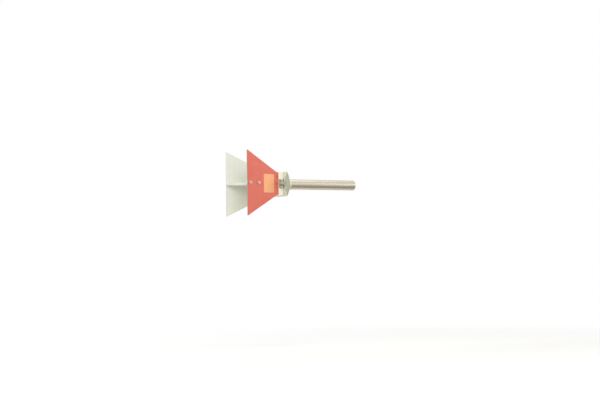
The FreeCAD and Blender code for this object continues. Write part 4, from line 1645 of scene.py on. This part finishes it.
@dataclass
class CoaxialSocket:
    """Flanged socket with a threaded barrel, its insulator and its gold contact."""

    palette: Palette
    feed_x: float = HORN.throat_x + HORN.feed_setback
    flange_half_x: float = 0.0051
    flange_half_z: float = 0.0095
    flange_corner: float = 0.001
    flange_chamfer: float = 0.00018
    hole: float = 0.0014
    barrel: float = 0.003175
    barrel_length: float = 0.012
    collar: float = 0.0018
    pitch: float = 0.00070556
    mouth: float = 0.0023
    mouth_depth: float = 0.002
    bore: float = 0.00205
    sides: int = 64

    def place(self, x: float, out: float, z: float) -> Vector:
        """A point by its distance out from the housing's face."""
        return Vector((self.feed_x + x, -(HORN.wall_outside + out), z))

    def build(self) -> None:
        """Dresses the inner pieces and builds flange and barrel."""
        dress("socket_insulator", self.palette.insulator.build())
        dress("socket_contact", self.palette.contact.build())
        self.shell()

    def barrel_rings(self) -> list[Ring]:
        """The barrel's rings from the flange outwards and back down its bore.

        Returns:
            The rings, the last at the place of the first.
        """
        circle = round_radius
        top = HORN.flange + self.barrel_length
        start = HORN.flange + self.collar
        rings = [
            ring(circle(self.bore), 0.0, self.sides),
            ring(circle(self.barrel), 0.0, self.sides),
            ring(circle(self.barrel), HORN.flange, self.sides),
            ring(circle(self.barrel), start - 0.0003, self.sides),
            ring(circle(self.barrel - 0.0003), start, self.sides)]
        steps = int((top - 0.0004 - start) / self.pitch * 8)
        for step in range(1, steps + 1):
            height = start + (top - 0.0004 - start) * step / steps
            rings.append(ring(thread_radius(self.barrel, self.pitch, height), height, self.sides))
        rings += [
            ring(circle(self.barrel - 0.00042), top - 0.0001, self.sides),
            ring(circle(self.barrel - 0.00052), top, self.sides),
            ring(circle(self.mouth + 0.00008), top, self.sides),
            ring(circle(self.mouth), top - 0.00008, self.sides),
            ring(circle(self.mouth), top - self.mouth_depth, self.sides),
            ring(circle(self.bore), top - self.mouth_depth, self.sides),
            ring(circle(self.bore), 0.0, self.sides)]
        return rings

    def shell(self) -> bpy.types.Object:
        """Flange and threaded barrel as one piece.

        Returns:
            The piece.
        """
        shape = bmesh.new()
        rings = self.barrel_rings()
        rows = [[shape.verts.new(self.place(p.x, p.z, p.y)) for p in one] for one in rings[:-1]]
        rows.append(rows[0])
        skin(shape, rows)
        self.flange(shape)
        piece = mesh_object("threaded_socket", shape)
        piece.data.materials.append(self.palette.socket.build())
        return carry(piece, "socket_metal", "socket_shell")

    def flange(self, shape: bmesh.types.BMesh) -> None:
        """Adds the rounded flange with its two screw holes.

        Args:
            shape: The mesh that takes it.
        """
        outline = []
        for index, (u, v) in enumerate(((1, 1), (-1, 1), (-1, -1), (1, -1))):
            centre = (u * (self.flange_half_x - self.flange_corner),
                      v * (self.flange_half_z - self.flange_corner))
            outline += quarter(centre, self.flange_corner, index)
        holes = [disc(self.hole, up * HORN.flange_screw_height) for up in (1, -1)]
        chamfer = self.flange_chamfer
        levels = ((0.0, 0.0), (HORN.flange - chamfer, 0.0), (HORN.flange, chamfer))
        loops = []
        for out, inset in levels:
            loops.append([shape.verts.new(self.place(
                u - math.copysign(min(inset, abs(u)), u), out,
                v - math.copysign(min(inset, abs(v)), v))) for u, v in outline])
        skin(shape, loops)
        for out, rim in ((0.0, loops[0]), (HORN.flange, loops[-1])):
            edges = self.loop_edges(shape, rim)
            for hole in holes:
                edges += self.loop_edges(shape, [shape.verts.new(self.place(u, out, v))
                                                 for u, v in hole])
            edges += self.loop_edges(shape, [shape.verts.new(self.place(u, out, v))
                                             for u, v in disc(self.barrel)])
            bmesh.ops.triangle_fill(shape, edges=edges, use_beauty=True)
        self.walls(shape)

    def loop_edges(self, shape: bmesh.types.BMesh, loop: Sequence[bmesh.types.BMVert]
                   ) -> list[bmesh.types.BMEdge]:
        """The edges round a closed loop of points, made where they don't exist.

        Args:
            shape: The mesh.
            loop: The points in order.

        Returns:
            The edges.
        """
        edges = []
        for first, second in zip(loop, list(loop[1:]) + [loop[0]]):
            found = shape.edges.get((first, second))
            edges.append(found if found is not None else shape.edges.new((first, second)))
        return edges

    def walls(self, shape: bmesh.types.BMesh) -> None:
        """Joins the open rims of the two faces through each screw hole and round the barrel.

        Args:
            shape: The mesh.
        """
        beyond = self.barrel + 0.0005
        rims = [edge for edge in shape.edges if len(edge.link_faces) == 1]
        for up in (1, -1):
            hole = [edge for edge in rims if up * edge.verts[0].co.z > beyond]
            bmesh.ops.bridge_loops(shape, edges=hole)
        rims = [edge for edge in shape.edges if len(edge.link_faces) == 1]
        bmesh.ops.bridge_loops(shape, edges=rims)


@dataclass
class MountingTube:
    """The round tube behind the block and the grub screws that hold it."""

    palette: Palette

    def build(self) -> None:
        """Dresses the tube's nodes."""
        dress("mast_tube", self.palette.tube.build())
        dress("tube_screws", self.palette.black.build())


@dataclass
class Fasteners:
    """All screws and washers of the horn."""

    palette: Palette
    tree: ScrewTree
    margin: float = 0.0073
    spacing: float = 0.0255
    washer: float = 0.0005
    cap: Screw = Screw(0.0015, 0.0075, 0.0005, 0.00275, 0.003, 0.0025)
    long_cap: Screw = Screw(0.0015, 0.019, 0.0005, 0.00275, 0.003, 0.0025)
    small_cap: Screw = Screw(0.00125, 0.0065, 0.00045, 0.00225, 0.0017, 0.0015)

    def build(self) -> None:
        """Builds the cap screws and dresses the countersunk ones and the washers."""
        steel = self.palette.steel.build()
        for side in Side:
            self.ridge_screws(side, steel)
            dress(side.prefix + "_ridge_washers", steel)
        self.block_screws(steel)
        self.socket_screws(steel)
        painted = self.palette.painted_screw.build()
        for side in Side:
            dress(side.prefix + "_tab_screws", painted)
            dress(side.prefix + "_root_screw", painted)
        for node in ("top_cover_screws", "bottom_cover_screws", "spigot_screw"):
            dress(node, steel)

    def ridge_screws(self, side: Side, finish: bpy.types.Material) -> bpy.types.Object:
        """The two screws of one side, square to its plate.

        Args:
            side: Which side.
            finish: Their material.

        Returns:
            The piece.
        """
        front = HORN.slant - self.margin
        out = HORN.plate_normal(side)
        sites = [(HORN.on_plate(side, along, HORN.sheet + self.washer, 0.0), out)
                 for along in (front, front - self.spacing)]
        name = side.prefix + "_ridge_cap_screws"
        piece = self.tree.grow(name, sites, self.cap, finish, 3 + side.value)
        return carry(piece, "screw_steel", side.prefix + "_ridge_screws")

    def block_screws(self, finish: bpy.types.Material) -> bpy.types.Object:
        """The four long screws behind the cavity block.

        Args:
            finish: Their material.

        Returns:
            The piece.
        """
        out = Vector((1.0, 0.0, 0.0))
        seat = HORN.block_start + HORN.block_screw_seat
        sites = [(Vector((seat, across * HORN.wall_middle, up * HORN.block_screw_height)), out)
                 for across in (-1, 1) for up in (-1, 1)]
        piece = self.tree.grow("block_cap_screws", sites, self.long_cap, finish, 11)
        return carry(piece, "screw_steel", "block_screws")

    def socket_screws(self, finish: bpy.types.Material) -> bpy.types.Object:
        """The two screws of the socket's flange.

        Args:
            finish: Their material.

        Returns:
            The piece.
        """
        out = Vector((0.0, -1.0, 0.0))
        seat = -(HORN.wall_outside + HORN.flange)
        sites = [(Vector((HORN.throat_x + HORN.feed_setback, seat, up * HORN.flange_screw_height)), out)
                 for up in (-1, 1)]
        piece = self.tree.grow("flange_cap_screws", sites, self.small_cap, finish, 17)
        return carry(piece, "screw_steel", "socket_screws")


# Studio


@dataclass
class Studio:
    """Floor, world, lamps and the camera at the photograph's angle."""

    floor_z: float = -0.36
    floor_reach: float = 9.0
    world_level: float = 0.42
    azimuth: float = -32.682
    elevation: float = -2.336
    roll: float = -0.838
    camera_at: tuple[float, float, float] = (-1.78328, -2.69568, -0.16364)
    lens: float = 90.0
    card_low: tuple[float, float, float] = (-0.1, -0.05, -0.3)
    card_high: tuple[float, float, float] = (0.9, -0.4, -0.13)
    card_color: Color = linear(168, 152, 136)

    def build(self) -> None:
        """Makes the whole stage."""
        self.floor()
        self.world()
        self.lamp("key_softbox", (-1.1, -1.9, 1.5), 1.6, 36.0, (1.0, 0.99, 0.97))
        self.lamp("top_softbox", (0.3, 0.1, 2.2), 1.8, 20.0, (1.0, 0.995, 0.985))
        self.lamp("side_softbox", (2.0, -1.4, 0.5), 1.4, 9.0, (1.0, 0.99, 0.97))
        self.lamp("rear_softbox", (-0.6, 2.3, 0.9), 1.6, 22.0, (0.98, 0.99, 1.0))
        self.dark_card()
        self.camera()
        bpy.context.scene.view_settings.view_transform = "Standard"

    def floor(self) -> bpy.types.Object:
        """A large pale plane under the antenna.

        Returns:
            The floor.
        """
        shape = bmesh.new()
        reach = self.floor_reach
        corners = [shape.verts.new((x, y, self.floor_z))
                   for x, y in ((-reach, -reach), (reach, -reach), (reach, reach), (-reach, reach))]
        shape.faces.new(corners)
        piece = mesh_object("studio_floor", shape)
        piece.data.materials.append(StageFinish("pale_floor").build())
        return piece

    def dark_card(self) -> bpy.types.Object:
        """A dark card low beside the tube, seen only in gloss, that gives the tube its shade.

        Returns:
            The card.
        """
        low, high = self.card_low, self.card_high
        shape = bmesh.new()
        corners = [(low[0], low[1], low[2]), (high[0], low[1], low[2]),
                   (high[0], high[1], high[2]), (low[0], high[1], high[2])]
        shape.faces.new([shape.verts.new(corner) for corner in corners])
        piece = mesh_object("dark_card", shape)
        work = Paintwork("dark_card")
        work.set(Base_Color=self.card_color, Roughness=0.8)
        piece.data.materials.append(work.material)
        piece.visible_camera = False
        piece.visible_diffuse = False
        piece.visible_shadow = False
        piece.visible_transmission = False
        return piece

    def world(self) -> None:
        """White to camera, gloss and glass, and a plain level of light on the object."""
        world = bpy.data.worlds.new("studio_world")
        bpy.context.scene.world = world
        world.use_nodes = True
        world.node_tree.nodes.clear()
        sheet = NodeSheet(world.node_tree)
        path = sheet.add("ShaderNodeLightPath")
        seen = sheet.math("MAXIMUM", path.outputs["Is Camera Ray"], path.outputs["Is Glossy Ray"])
        seen = sheet.math("MAXIMUM", seen, path.outputs["Is Transmission Ray"])
        level = sheet.remap(seen, 0.0, 1.0, self.world_level, 1.0)
        light = sheet.add("ShaderNodeBackground", {"Color": (1.0, 1.0, 1.0, 1.0), "Strength": level})
        output = sheet.add("ShaderNodeOutputWorld")
        sheet.feed(output.inputs[0], light.outputs[0])

    def lamp(self, name: str, place: Sequence[float], size: float, energy: float,
             color: Sequence[float]) -> bpy.types.Object:
        """One square softbox that looks at the horn.

        Args:
            name: Its name.
            place: Where it stands.
            size: Its width.
            energy: Its power in watts.
            color: Its colour.

        Returns:
            The lamp.
        """
        data = bpy.data.lights.new(name, "AREA")
        data.shape = "SQUARE"
        data.size = size
        data.energy = energy
        data.color = tuple(color)
        made = bpy.data.objects.new(name, data)
        bpy.context.scene.collection.objects.link(made)
        made.location = Vector(place)
        aim = Vector((-0.06, 0.0, 0.0)) - made.location
        made.rotation_euler = aim.to_track_quat("-Z", "Y").to_euler()
        return made

    def camera(self) -> bpy.types.Object:
        """The camera with the photograph's direction, roll and distance.

        Returns:
            The camera.
        """
        turn, lift, roll = (math.radians(v) for v in (self.azimuth, self.elevation, self.roll))
        back = Vector((math.sin(turn) * math.cos(lift), -math.cos(turn) * math.cos(lift),
                       math.sin(lift)))
        right = (-back).cross(Vector((0.0, 0.0, 1.0))).normalized()
        up = right.cross(-back)
        rolled_right = math.cos(roll) * right + math.sin(roll) * up
        rolled_up = -math.sin(roll) * right + math.cos(roll) * up
        data = bpy.data.cameras.new("photo_camera")
        data.lens = self.lens
        data.sensor_width = 36.0
        data.clip_start = 0.05
        data.clip_end = 60.0
        made = bpy.data.objects.new("photo_camera", data)
        bpy.context.scene.collection.objects.link(made)
        turned = Matrix((rolled_right, rolled_up, back)).transposed().to_4x4()
        made.matrix_world = Matrix.Translation(Vector(self.camera_at)) @ turned
        bpy.context.scene.camera = made
        return made


def main() -> None:
    """Builds every sub-assembly in order."""
    logging.basicConfig(level=logging.INFO, format="%(name)s: %(message)s")
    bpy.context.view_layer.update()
    palette = Palette()
    FlaredPlates(palette).build()
    ThroatHousing(palette).build()
    CoaxialSocket(palette).build()
    MountingTube(palette).build()
    Fasteners(palette, ScrewTree()).build()
    Studio().build()


if __name__ == "__main__":
    main()
